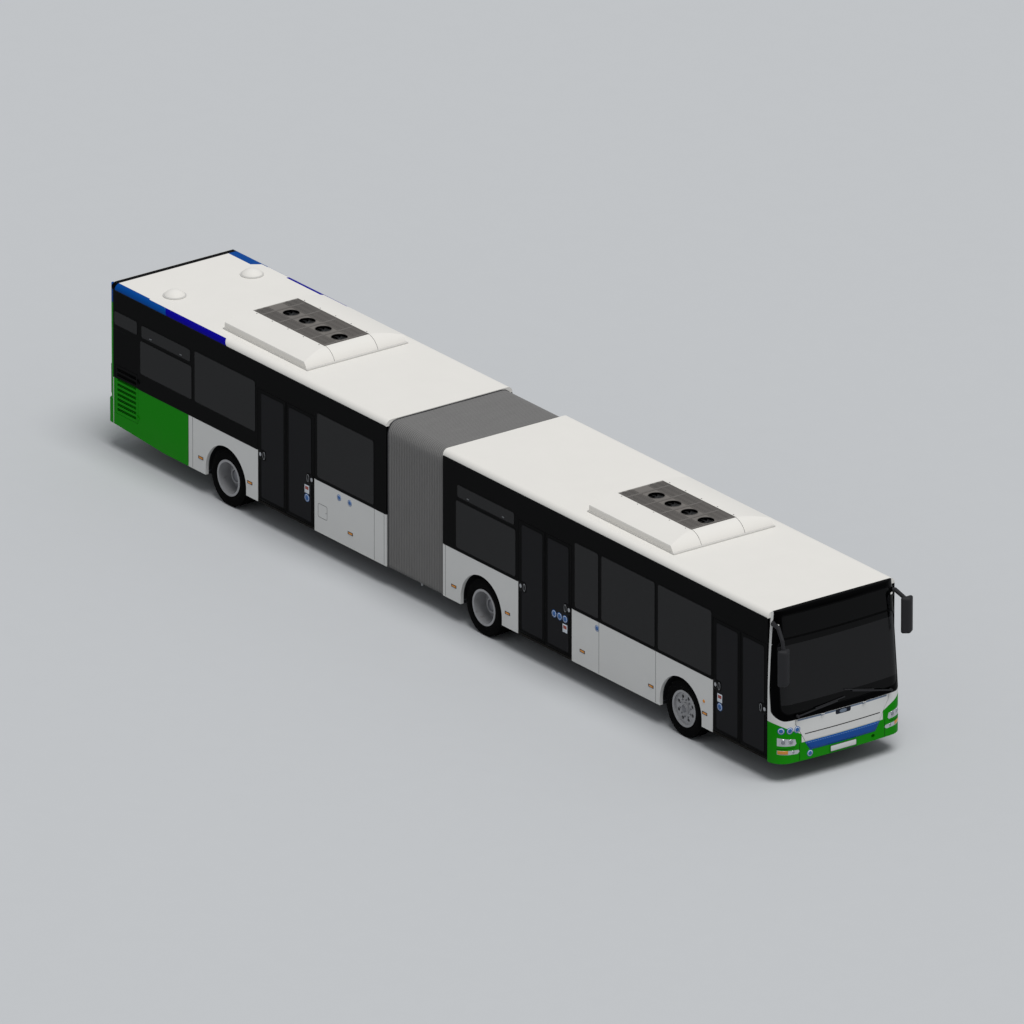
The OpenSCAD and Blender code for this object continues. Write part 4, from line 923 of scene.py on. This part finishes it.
spots = [(sign * y, z, r) for sign in (-1, 1) for y, z, r in ((1.0, 0.703, 0.05), (1.125, 0.712, 0.052),
                                                            (0.955, 0.524, 0.026))]
piece("headlight_bezels", [domes([on_nose(y, z, 0.0)], *face_axes(y), (r, r), 0.004, sides=32)
                           for y, z, r in spots], chrome, "front_section")
piece("headlight_lenses", [domes([on_nose(y, z, 0.002)], *face_axes(y), (r * 0.74, r * 0.74), 0.008,
                                 sides=32) for y, z, r in spots], lens_grey, "front_section")
amber_finish = Finish("amber_lens", roughness=0.2, coat=0.6)
amber_ribs = amber_finish.wave(amber_finish.x, 0.012)
# Each rib is a lighter amber stripe: a painted highlight on the ribs.
amber_colour = amber_finish.over(srgb(196, 118, 18), amber_finish.math("MULTIPLY", amber_ribs, 0.4),
                                 srgb(232, 160, 40))
amber = amber_finish.done(amber_colour, mottle=0.1, relief=amber_ribs, grain=0.3, depth=0.001)
indicator = ((1.05, 0.503), (1.19, 0.512), (1.19, 0.568), (1.05, 0.562))
piece("front_indicators", [nose_patch([(sign * y, z) for y, z in indicator][::sign], 0.0022, across=12)
                           for sign in (-1, 1)], amber, "front_section")
lamp_finish = Finish("marker_lens", roughness=0.2, coat=0.5)
marker_white = lamp_finish.done(srgb(215, 215, 212), mottle=0.08)
leaning_up = (-math.sin(lean), 0.0, math.cos(lean))
piece("front_marker_lamps", [
    domes([on_nose(y, 2.65, 0.006)], face_axes(y)[0], leaning_up, (0.036, 0.016), 0.012, power=3.5,
          sink=0.012) for y in (-1.13, 1.13)], marker_white, "front_section")
strip_finish = Finish("flap_strip", roughness=0.3, metallic=0.4)
strip_grey = strip_finish.done(srgb(110, 122, 138), mottle=0.1)
piece("flap_trim_strip", [square_patch(-0.74, 0.74, 0.783, 0.797, 0.0015, sink=0.003)], bead_black,
      "front_flap")
piece("flap_emblem_recess", [domes([on_nose(0.0, 1.012, 0.0)], (0, 1, 0), (0, 0, 1), (0.07, 0.03), 0.004,
                                   power=2.6)], strip_grey, "front_flap")


# ---- Stick-on discs ----
# Plain blue vinyl discs with a pale ring at the doors and lamps, where the real bus has its
# pictograms, each a film a millimetre thick pressed on the paint.

vinyl = Finish("blue_vinyl", roughness=0.4)
vinyl_blue = vinyl.done(srgb(34, 92, 158), mottle=0.08)
vinyl = Finish("pale_vinyl", roughness=0.4)
vinyl_pale = vinyl.done(srgb(205, 212, 220), mottle=0.06)
vinyl = Finish("red_vinyl", roughness=0.4)
vinyl_red = vinyl.done(srgb(150, 60, 46), mottle=0.08)


def film(name, spots, radius, body, level, axes=((1, 0, 0), (0, 0, 1))):
    """Discs at spots (x, z) on the right side: blue, with a smaller pale disc and a blue middle."""
    centres = np.array([(x, level, z) for x, z in spots], float)
    lift = np.array([0, -0.0006, 0])
    piece(f"{name}_blue", [domes(centres, *axes, (radius, radius), 0.0006, sides=36, rings=2)],
          vinyl_blue, body)
    piece(f"{name}_pale", [domes(centres + lift, *axes, (radius * 0.8, radius * 0.8), 0.0005, sides=36,
                                 rings=2)], vinyl_pale, body)
    piece(f"{name}_middle", [domes(centres + lift * 2, *axes, (radius * 0.66, radius * 0.66), 0.0005,
                                   sides=36, rings=2)], vinyl_blue, body)


film("rear_discs", ((-2.785, 1.14), (-2.498, 1.14)), 0.055, "rear_section", -half_width)
film("front_disc", ((4.09, 1.14),), 0.055, "front_section", -half_width)
film("door_3_disc", ((-3.651, 0.86),), 0.07, "door_3_front", -half_width)
film("door_2_discs", ((2.953, 1.02), (3.098, 1.02), (3.243, 1.02)), 0.066, "door_2_front", -half_width)
film("door_1_disc", ((7.316, 0.86),), 0.07, "door_1_rear", -half_width)
for name, x, z, body in (("door_3_notice", -3.651, 1.01, "door_3_front"),
                         ("door_2_notice", 3.243, 0.86, "door_2_front"),
                         ("door_1_notice", 7.316, 1.01, "door_1_rear")):
    piece(name, [blocks([(x, -half_width - 0.0004, z)], (0.062, 0.001, 0.07), 0.0008)], vinyl_pale, body)
    piece(f"{name}_bar", [blocks([(x, -half_width - 0.0014, z + 0.02)], (0.045, 0.0006, 0.028), 0.0004)],
          vinyl_red, body)

lamp_discs = [(-1.15, 0.902), (-1.02, 0.897), (-0.885, 0.892), (-0.64, 0.44)]
for name, share, out, skin in (("lamp_discs_blue", 1.0, 0.0, vinyl_blue), ("lamp_discs_pale", 0.8, 0.0008,
                                vinyl_pale), ("lamp_discs_middle", 0.62, 0.0016, vinyl_blue)):
    piece(name, [domes([on_nose(y, z, out)], *face_axes(y), (0.058 * share, 0.058 * share), 0.0006,
                       sides=32, rings=2, sink=0.006) for y, z in lamp_discs], skin,
          "front_section")


# ---- Side lamps ----
# Amber marker lamps clipped in the skirt at even steps, and an indicator at each front corner:
# small moulded lenses on dark bases.

marker_x = {"front_section": (0.290, 1.719, 3.703, 5.511, 6.922),
            "rear_section": (-6.524, -5.194, -2.482)}
for body, stations in marker_x.items():
    spots = [(x, sign * half_width, 0.62) for x in stations for sign in (-1, 1)]
    right_side = [s for s in spots if s[1] < 0]
    left_side = [s for s in spots if s[1] > 0]
    piece(f"{body}_marker_bases", [blocks(spots, (0.068, 0.004, 0.025), 0.003)], bead_black, body)
    piece(f"{body}_markers", [
        domes([(x, y - 0.004, z) for x, y, z in right_side], (1, 0, 0), (0, 0, 1), (0.056, 0.0165),
              0.007, power=5.0),
        domes([(x, y + 0.004, z) for x, y, z in left_side], (-1, 0, 0), (0, 0, 1), (0.056, 0.0165),
              0.007, power=5.0)], amber, body)
piece("side_indicators", [
    domes([(6.9, -half_width, 0.82)], (1, 0, 0), (0, 0, 1), (0.03, 0.03), 0.014),
    domes([(6.9, half_width, 0.82)], (-1, 0, 0), (0, 0, 1), (0.03, 0.03), 0.014)], amber,
    "front_section")
filler = rounded_path((-3.349, 0.64), (-3.107, 0.87), 0.03, -half_width, (0, 2))
piece("filler_flap_joint", [swept(filler, (0, -1, 0), [(-0.003, 0.001), (0.003, 0.001), (0.003, -0.001),
                                                     (-0.003, -0.001)][::-1])],
      bead_black, "rear_section")
piece("filler_flap_catch", [domes([(-3.135, -half_width, 0.755)], (1, 0, 0), (0, 0, 1), (0.009, 0.009),
                                  0.004)], catch_steel, "rear_section")


# ---- Wheels ----
# Steel rims painted grey, ten nuts on each disc, and treaded radial tyres: four grooves round
# the tread, cross sipes and bulging sidewalls with raised rings.

tyre_radius, rim_radius, tyre_half = 0.478, 0.290, 0.138
steel_finish = Finish("rim_paint", roughness=0.45, metallic=0.1, specular=0.2)
rust = steel_finish.above(steel_finish.noise(14.0, 5.0), 0.66, 0.05)
rim_colour = steel_finish.over(srgb(158, 158, 160), steel_finish.math("MULTIPLY", rust, 0.4),
                               srgb(110, 102, 94))
rim_paint = steel_finish.done(rim_colour, mottle=0.12, grain=0.15, scale=220.0, depth=0.0006)
nut_finish = Finish("nut_steel", roughness=0.35, metallic=0.9)
nut_steel = nut_finish.done(srgb(120, 120, 124), mottle=0.2)
tread_finish = Finish("tyre_rubber", roughness=0.85, specular=0.05)
tyre_dust = tread_finish.math("MULTIPLY", tread_finish.noise(6.0, 5.0), 0.25)
tyre_black = tread_finish.done(tread_finish.over(srgb(9, 9, 10), tyre_dust, srgb(34, 33, 32)), mottle=0.15,
                               grain=0.3, scale=350.0, depth=0.0006)


def tyre_ring(x, y, facing, sides=168):
    """One tyre as a lathed ring about the Y line through (x, y): the section runs from bead over
    sidewall, shoulder and grooved tread and back; at every third step of angle t the tread's
    radius also drops by a sipe. facing is the side that looks out."""
    half = tyre_half
    mid = (rim_radius + tyre_radius) / 2
    grow = np.linspace(-1, 1, 13)
    wall_r = mid + grow * (tyre_radius - 0.022 - mid)
    wall_w = half - 0.005 - (0.18 - np.sqrt(0.18 ** 2 - (wall_r - mid) ** 2))
    wall_w = wall_w + 0.0022 * (np.abs(np.sin(grow * 7.0)) > 0.94)
    groove = np.array([-0.075, -0.027, 0.027, 0.075])
    tread_w = np.sort(np.concatenate([[-0.118, -0.11, 0.11, 0.118], groove - 0.0075, groove - 0.005,
                                      groove + 0.005, groove + 0.0075]))[::-1]
    in_groove = (np.abs(tread_w[:, None] - groove[None]) < 0.006).any(1)
    tread_r = tyre_radius - 0.0035 * (tread_w / 0.118) ** 2 - 0.011 * in_groove
    inner_w = np.array([-0.11, -0.05, 0.05, 0.11])
    width = np.concatenate([wall_w, tread_w, -wall_w[::-1], inner_w])
    radius = np.concatenate([wall_r, tread_r, wall_r[::-1], np.full(4, rim_radius + 0.0015)])
    t = np.arange(sides) * math.tau / sides
    on_tread = np.zeros(len(width))
    on_tread[13:13 + len(tread_w)] = ~in_groove
    sipe = (np.arange(sides) % 3 == 0).astype(float)
    ring = radius[None] - 0.006 * sipe[:, None] * on_tread[None] * (np.abs(width[None]) > 0.03)
    points = np.stack([x + ring * np.cos(t)[:, None], np.broadcast_to(y + facing * width, ring.shape),
                       tyre_radius + ring * np.sin(t)[:, None]], -1)
    n, m = ring.shape
    i, j = [g.ravel() for g in np.meshgrid(np.arange(n), np.arange(m), indexing="ij")]
    quads = np.stack([i * m + j, (i + 1) % n * m + j, (i + 1) % n * m + (j + 1) % m,
                      i * m + (j + 1) % m], 1)
    return points.reshape(-1, 3), quads if facing < 0 else quads[:, ::-1], no_faces


def nuts(x, y, facing, circle, count, size, rise):
    """Domed hexagon nuts round the hub: at angle t of the bolt circle, six-sided buttons."""
    t = np.arange(count) * math.tau / count + 0.2
    centres = np.stack([x + circle * np.cos(t), np.full(count, y), tyre_radius + circle * np.sin(t)], 1)
    return domes(centres, (-facing, 0, 0), (0, 0, 1), (size, size), rise, sides=6, rings=2)


for axle in (1, 2, 3):
    for hand, facing in (("right", -1), ("left", 1)):
        body = f"wheel_{axle}_{hand}"
        low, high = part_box(f"tyre_{axle}_{hand}")
        x, middle = (low.x + high.x) / 2, (low.y + high.y) / 2
        offsets = (0.0,) if axle == 1 else (-0.156, 0.156)
        tyre = piece(f"{body}_treads", [tyre_ring(x, middle + offset, facing) for offset in offsets],
                     tyre_black, body)
        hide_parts(f"tyre_{axle}_{hand}")
        nodes[f"rim_{axle}_{hand}"].data.materials.clear()
        nodes[f"rim_{axle}_{hand}"].data.materials.append(rim_paint)
        face_y = middle + facing * (0.092 if axle == 1 else 0.042)
        bolt_circle = 0.145 if axle == 1 else 0.152
        cap_y = middle + facing * (0.129 if axle == 1 else 0.135)
        hub = [nuts(x, face_y, facing, bolt_circle, 10, 0.016, 0.024),
               domes([(x, cap_y, tyre_radius)], (-facing, 0, 0), (0, 0, 1),
                     (0.062, 0.062) if axle == 1 else (0.1, 0.1), 0.02 if axle == 1 else 0.012),
               nuts(x, cap_y - facing * 0.004, facing, 0.047 if axle == 1 else 0.112, 8, 0.007, 0.008)]
        piece(f"{body}_nuts", hub, nut_steel, body)


# ---- Roof units ----
# Each air-conditioning unit has a grey grille plate with lengthwise grooves let into its top and
# four fans under round openings; the cover's joints run down its rounded front.

grille_finish = Finish("grille_plate", roughness=0.55, metallic=0.3)
grille_grey = grille_finish.done(srgb(116, 112, 108), mottle=0.12, grain=0.1, scale=200.0, depth=0.0006)
fan_finish = Finish("fan_plastic", roughness=0.5)
fan_black = fan_finish.done(srgb(24, 24, 25), mottle=0.2, grain=0.1, scale=200.0, depth=0.0005)
roof_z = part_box("front_roof")[1].z
unit_top = roof_z + 0.207


def fan(x):
    """A seven-bladed fan: blade k is a strip from radius 0.035 to 0.128, turned about its length
    by 24 degrees, at angle t = tau k / 7 + 0.25 times the radius's share."""
    share, side = np.meshgrid(np.linspace(0, 1, 6), np.linspace(-1, 1, 4), indexing="ij")
    shapes = [domes([(x, 0, unit_top - 0.052)], (1, 0, 0), (0, 1, 0), (0.04, 0.04), 0.014, sides=20)]
    for k in range(7):
        r = 0.032 + share * 0.096
        t = math.tau * k / 7 + 0.25 * share + side * 0.026 * (0.6 + share) / r
        z = unit_top - 0.048 + side * 0.009
        top = np.stack([x + r * np.cos(t), r * np.sin(t), z], -1)
        n, m = share.shape
        i, j = [g.ravel() for g in np.meshgrid(np.arange(n - 1), np.arange(m - 1), indexing="ij")]
        quads = np.stack([i * m + j, (i + 1) * m + j, (i + 1) * m + j + 1, i * m + j + 1], 1)
        rim = np.concatenate([np.arange(n) * m, (n - 1) * m + np.arange(1, m),
                              np.arange(n - 2, -1, -1) * m + m - 1, np.arange(m - 2, 0, -1)])
        walls = np.stack([rim, rim + n * m, np.roll(rim, -1) + n * m, np.roll(rim, -1)], 1)
        under = top - np.array([0, 0, 0.002])
        shapes.append((np.concatenate([top.reshape(-1, 3), under.reshape(-1, 3)]),
                       np.concatenate([quads, quads[:, ::-1] + n * m, walls]), no_faces))
    return shapes


for name, body in (("front_aircon", "front_section"), ("rear_aircon", "rear_section")):
    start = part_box(name)[0].x
    fan_x = [start + 0.484 + 0.434 * k for k in range(4)]
    ridges = []
    for y in np.concatenate([np.arange(-0.425, -0.15, 0.03), np.arange(0.155, 0.43, 0.03)]):
        ridges.append((start + 1.022, y, unit_top - 0.0115))
    cross = [(x, 0.0, unit_top - 0.0115) for x in
             [start + 0.267] + [start + 0.701 + 0.434 * k for k in range(3)] + [start + 1.93]]
    piece(f"{name}_grille_ridges", [
        blocks(ridges, (0.955, 0.0085, 0.0045), 0.003),
        blocks(cross, (0.018, 0.43, 0.006), 0.003)], grille_grey, body)
    piece(f"{name}_fan_rings", [swept(ring_path(x, 0, unit_top - 0.0125, 0.139), (0, 0, 1),
                                      circle_profile(0.0055, 8)) for x in fan_x], grille_grey, body)
    piece(f"{name}_fans", [shape for x in fan_x for shape in fan(x)], fan_black, body)
    screws = [(start + 0.2 + 0.42 * k, y, unit_top - 0.001) for k in range(5) for y in (-0.474, 0.474)]
    piece(f"{name}_cover_screws", [domes(screws, (1, 0, 0), (0, 1, 0), (0.013, 0.013), 0.0025, sides=12,
                                         rings=3)], bead_black, body)
    slope, rise = 0.29, 0.207
    slope_radius = (slope ** 2 + rise ** 2) / (2 * rise)
    run = np.linspace(0, 0.262, 14)
    drop = slope_radius - np.sqrt(slope_radius ** 2 - (run + 0.03) ** 2)
    lines = []
    for y in (-0.43, 0.43):
        path = np.stack([start + 1.99 + run, np.full(len(run), y), unit_top - drop + 0.0008], 1)
        lines.append(swept(path, (0, 1, 0), circle_profile(0.0028, 6), closed=False))
    piece(f"{name}_cover_joints", lines, bead_black, body)


# ---- Tail ----
# Red lamp clusters in the rear corners, a hatch with pressed louvres, bumper joints, a blank
# number plate and a high brake lamp over the window; the radiator door has slats of its own.

red_finish = Finish("tail_lens", roughness=0.18, coat=0.6)
tiers = red_finish.wave(red_finish.z, 0.018)
lens_colour = red_finish.over(srgb(150, 18, 14), red_finish.box(z=(1.09, 1.24)), srgb(196, 110, 20))
lens_colour = red_finish.over(lens_colour, red_finish.box(z=(0.99, 1.07)), srgb(190, 190, 188))
tail_red = red_finish.done(lens_colour, mottle=0.1, relief=tiers, grain=0.4, depth=0.0015)
nodes["tail_lights"].data.materials.clear()
nodes["tail_lights"].data.materials.append(tail_red)
rear_x, tail_face = cad_box[0].x, -9.045
bezel_profile = [(-0.004, 0.002), (0.004, 0.002), (0.004, -0.002), (-0.004, -0.002)]
bezels = []
for y0, y1 in ((-1.185, -1.08), (1.08, 1.185)):
    path = rounded_path((y0, 0.91), (y1, 1.45), 0.03, tail_face, (1, 2))
    bezels.append(swept(path, (-1, 0, 0), bezel_profile))
piece("tail_lamp_bezels", bezels, bead_black, "rear_section")
piece("tail_lamp_rings", [domes([(tail_face, sign * 1.1325, z) for z in (0.95, 1.03, 1.165, 1.3, 1.4)
                                 for sign in (-1, 1)], (0, -1, 0), (0, 0, 1), (0.038, 0.031), 0.006,
                                sides=32)], tail_red, "rear_section")
louvre_z = np.arange(0.97, 1.36, 0.045)
# The louvres are dark blocks: painted shade in the louvres' slots.
piece("hatch_louvres", [blocks([(tail_face - 0.001, y, z) for z in louvre_z for y in (-0.36, 0.36)],
                               (0.006, 0.3, 0.011), 0.004)], bead_black, "engine_hatch")
piece("hatch_handle", [blocks([(tail_face - 0.004, 0, 0.93)], (0.008, 0.075, 0.011), 0.005)], catch_steel,
      "engine_hatch")
piece("rear_number_plate", [blocks([(rear_x + 0.0025, 0.0, 0.64)], (0.0035, 0.255, 0.052), 0.003)],
      Finish("rear_plate", roughness=0.35).done(srgb(205, 206, 204), mottle=0.05), "rear_section")
piece("rear_bumper_joints", [blocks([(rear_x, sign * 0.9, 0.655) for sign in (-1, 1)],
                                    (0.0012, 0.0032, 0.19), 0.001)], bead_black, "rear_section")
piece("high_brake_lamp", [domes([(tail_face, 0.0, 2.39)], (0, -1, 0), (0, 0, 1), (0.16, 0.013), 0.008,
                                power=5.0)], tail_red, "rear_section")
# Below the belt the slats get a darker copy of the door's green: painted shade between the slats.
slat_finish = gloss("slat_paint")
shaded_slat_green = slat_finish.done(slat_finish.over(srgb(20, 92, 14), slat_finish.above(slat_finish.z, belt_z),
                                               srgb(16, 16, 17)), mottle=0.08)
slats = [((-8.795 - 8.285) / 2, -half_width + 0.011, 0.705 + 0.0285 * k)
         for k in range(27)]
piece("radiator_slats", [blocks(slats, (0.262, 0.008, 0.0042), 0.003)], shaded_slat_green, "radiator_door")


# ---- Mirrors and wipers ----
# Mirror housings and arms are moulded in grained dark plastic, with a bright glass on the rear
# side; the wipers, black painted steel with rubber blades, get the same grained dark finish.

grained = Finish("grained_plastic", roughness=0.6, specular=0.15)
dark_plastic = grained.done(srgb(46, 46, 48), mottle=0.1, grain=0.5, scale=260.0, depth=0.0008)
for name in ("mirrors", "wipers"):
    nodes[name].data.materials.clear()
    nodes[name].data.materials.append(dark_plastic)
mirror_finish = Finish("mirror_glass", roughness=0.03, metallic=1.0)
mirror_bright = mirror_finish.done(srgb(190, 195, 200), mottle=0.04, uneven=0.01)
piece("mirror_glasses", [
    domes([(9.0 - 0.036, -1.265, 2.2)], (0, -1, 0), (0, 0, 1), (0.082, 0.135), 0.002, power=6.0),
    domes([(9.0 - 0.036, -1.265, 1.95)], (0, -1, 0), (0, 0, 1), (0.082, 0.1), 0.006, power=6.0),
    domes([(8.865 - 0.036, 1.265, 2.45)], (0, -1, 0), (0, 0, 1), (0.082, 0.135), 0.002, power=6.0),
    domes([(8.865 - 0.036, 1.265, 2.2)], (0, -1, 0), (0, 0, 1), (0.082, 0.1), 0.006, power=6.0)],
    mirror_bright, "front_section")


# ---- Chassis and cabin ----
# Underseal on the frames and axles, an iron engine block, a speckled cabin floor, yellow
# powder-coated handrails and a grained desk; most of it shows only through doors and glass.

underseal = Finish("underseal", roughness=0.85, specular=0.2)
floor_speck = underseal.above(underseal.noise(110.0, 2.0), 0.6, 0.03)
cabin_floor = underseal.box(z=(0.405, 0.416))
seal = underseal.over(srgb(40, 40, 42), cabin_floor, srgb(70, 74, 82))
seal = underseal.over(seal, underseal.both(cabin_floor, floor_speck), srgb(120, 124, 130))
underseal_black = underseal.done(seal, mottle=0.25, grain=0.5, scale=120.0, depth=0.0015)
iron = Finish("cast_iron", roughness=0.6, metallic=0.6)
iron_grey = iron.done(srgb(72, 74, 76), mottle=0.3, grain=0.5, scale=90.0, depth=0.002)
rail_finish = Finish("powder_yellow", roughness=0.38, coat=0.2)
rail_yellow = rail_finish.done(srgb(214, 166, 26), mottle=0.08, grain=0.2, scale=500.0, depth=0.0003)
desk = Finish("desk_grain", roughness=0.65)
desk_grey = desk.done(srgb(44, 44, 47), mottle=0.1, grain=0.5, scale=300.0, depth=0.0008)
shell = Finish("seat_shell", roughness=0.5)
shell_grey = shell.done(srgb(62, 70, 82), mottle=0.1, grain=0.3, scale=260.0, depth=0.0006)
hoop_finish = Finish("hoop_aluminium", roughness=0.4, metallic=0.9)
hoop_grey = hoop_finish.done(srgb(150, 152, 154), mottle=0.12, scale=180.0)
for finish, names in ((underseal_black, ("front_underframe", "rear_underframe", "front_axle", "middle_axle",
                                         "rear_axle", "knuckle_right", "knuckle_left")),
                      (iron_grey, ("engine", "turntable")),
                      (rail_yellow, ("front_handrails", "rear_handrails")),
                      (desk_grey, ("dashboard",)), (hoop_grey, ("bellows_hoop",)),
                      (shell_grey, ("front_seats", "rear_seats"))):
    for name in names:
        nodes[name].data.materials.clear()
        nodes[name].data.materials.append(finish)


# ---- Seat pads ----
# Foam pads in woven moquette on every seat's cushion and back, all cut from one pattern: a
# crowned cover sewn down along one channel and stretched over the shell's edges.

moquette = Finish("moquette", roughness=0.9, specular=0.15)
checks = moquette.both(moquette.wave(moquette.x, 0.05), moquette.wave(moquette.y, 0.05))
threads = moquette.both(moquette.wave(moquette.x, 0.003), moquette.wave(moquette.y, 0.003))
fabric = moquette.over(srgb(32, 48, 92), checks, srgb(70, 96, 150))
fabric = moquette.over(fabric, moquette.above(moquette.noise(70.0, 2.0), 0.64, 0.03), srgb(150, 60, 50))
seat_cloth = moquette.done(fabric, mottle=0.1, relief=threads, grain=0.5, depth=0.0008)
moquette.shader.inputs["Sheen Weight"].default_value = 0.3


def pad_shape(half_a, half_b, rise, n=14):
    """A crowned pad in its own plane: at u, v from -1 to 1 the outline is pulled in by
    0.03 (1 - u^4) at its sides, the top rises by rise (1 - u^6)(1 - v^6) and dips by a quarter
    of that along a sewn channel at v = 0.35; the back is flat."""
    u, v = np.meshgrid(np.linspace(-1, 1, n), np.linspace(-1, 1, n), indexing="ij")
    a = half_a * u * (1 - 0.03 * (1 - v ** 4))
    b = half_b * v * (1 - 0.03 * (1 - u ** 4))
    crown = rise * ((1 - u ** 6) * (1 - v ** 6)) ** 0.5
    crown = crown * (1 - 0.25 * np.exp(-((v - 0.35) / 0.06) ** 2)) + 0.002
    top = np.stack([a, b, crown], -1).reshape(-1, 3)
    under = top * np.array([1, 1, 0])
    i, j = [g.ravel() for g in np.meshgrid(np.arange(n - 1), np.arange(n - 1), indexing="ij")]
    quads = np.stack([i * n + j, (i + 1) * n + j, (i + 1) * n + j + 1, i * n + j + 1], 1)
    rim = np.concatenate([np.arange(n) * n, (n - 1) * n + np.arange(1, n),
                          np.arange(n - 2, -1, -1) * n + n - 1, np.arange(n - 2, 0, -1)])
    walls = np.stack([rim, rim + n * n, np.roll(rim, -1) + n * n, np.roll(rim, -1)], 1)
    return np.concatenate([top, under]), np.concatenate([quads, quads[:, ::-1] + n * n, walls]), no_faces


def seat_pads(seats, foot):
    """Pads at seats (x, y, floor z): the cushion's lies flat on the shell, the back's is turned
    to the back's lean of 8 degrees and stands in front of it."""
    shapes = []
    lean_back = math.radians(8)
    cushion = pad_shape(0.18, 0.2, 0.035)
    back = pad_shape(0.27, 0.19, 0.03)
    ahead = np.array([math.cos(lean_back), 0, math.sin(lean_back)])
    upward = np.array([-math.sin(lean_back), 0, math.cos(lean_back)])
    for x, y, z in seats:
        place = np.array([x + 0.015, y, z + foot + 0.0595])
        shapes.append((cushion[0] + place, cushion[1], no_faces))
        base = np.array([x - 0.215, y, z + foot + 0.015]) + ahead * 0.0495 + upward * 0.345
        turned = back[0][:, :1] * upward + back[0][:, 1:2] * np.array([0, -1, 0]) + back[0][:, 2:] * ahead
        shapes.append((turned + base, back[1][:, ::-1], no_faces))
    return shapes


inner_width = half_width - 0.06
floor_z, bay_z, bay_x = 0.41, 1.0, -6.995


def rows_of(x, z, hands):
    """Two seats side by side at x, at each named side of the aisle."""
    return [(x, hand * (inner_width - inset), z) for hand in hands for inset in (0.245, 0.69)]


front_rows = [seat for k in range(4)
              for seat in rows_of(doorways[2][1] + 0.33 + 0.48 * k, floor_z, (-1, 1) if k < 2 else (1,))]
front_rows += [seat for k in range(2) for seat in rows_of(doorways[2][0] - 0.1 + 0.7 * k, floor_z, (1,))]
rear_rows = [seat for k in range(3) for seat in rows_of(-1.51 - 0.7 - 0.76 * k, floor_z, (1,))]
rear_rows += rows_of(-1.51 - 0.7, floor_z, (-1,))
raised_rows = [seat for k in range(2) for seat in rows_of(bay_x - 0.5 - 0.8 * k, bay_z, (-1, 1))]
front_pads = piece("front_seat_pads", seat_pads(front_rows, 0.43), seat_cloth, "front_section")
rear_pads = piece("rear_seat_pads", seat_pads(rear_rows, 0.43) + seat_pads(raised_rows, 0.4), seat_cloth,
                  "rear_section")
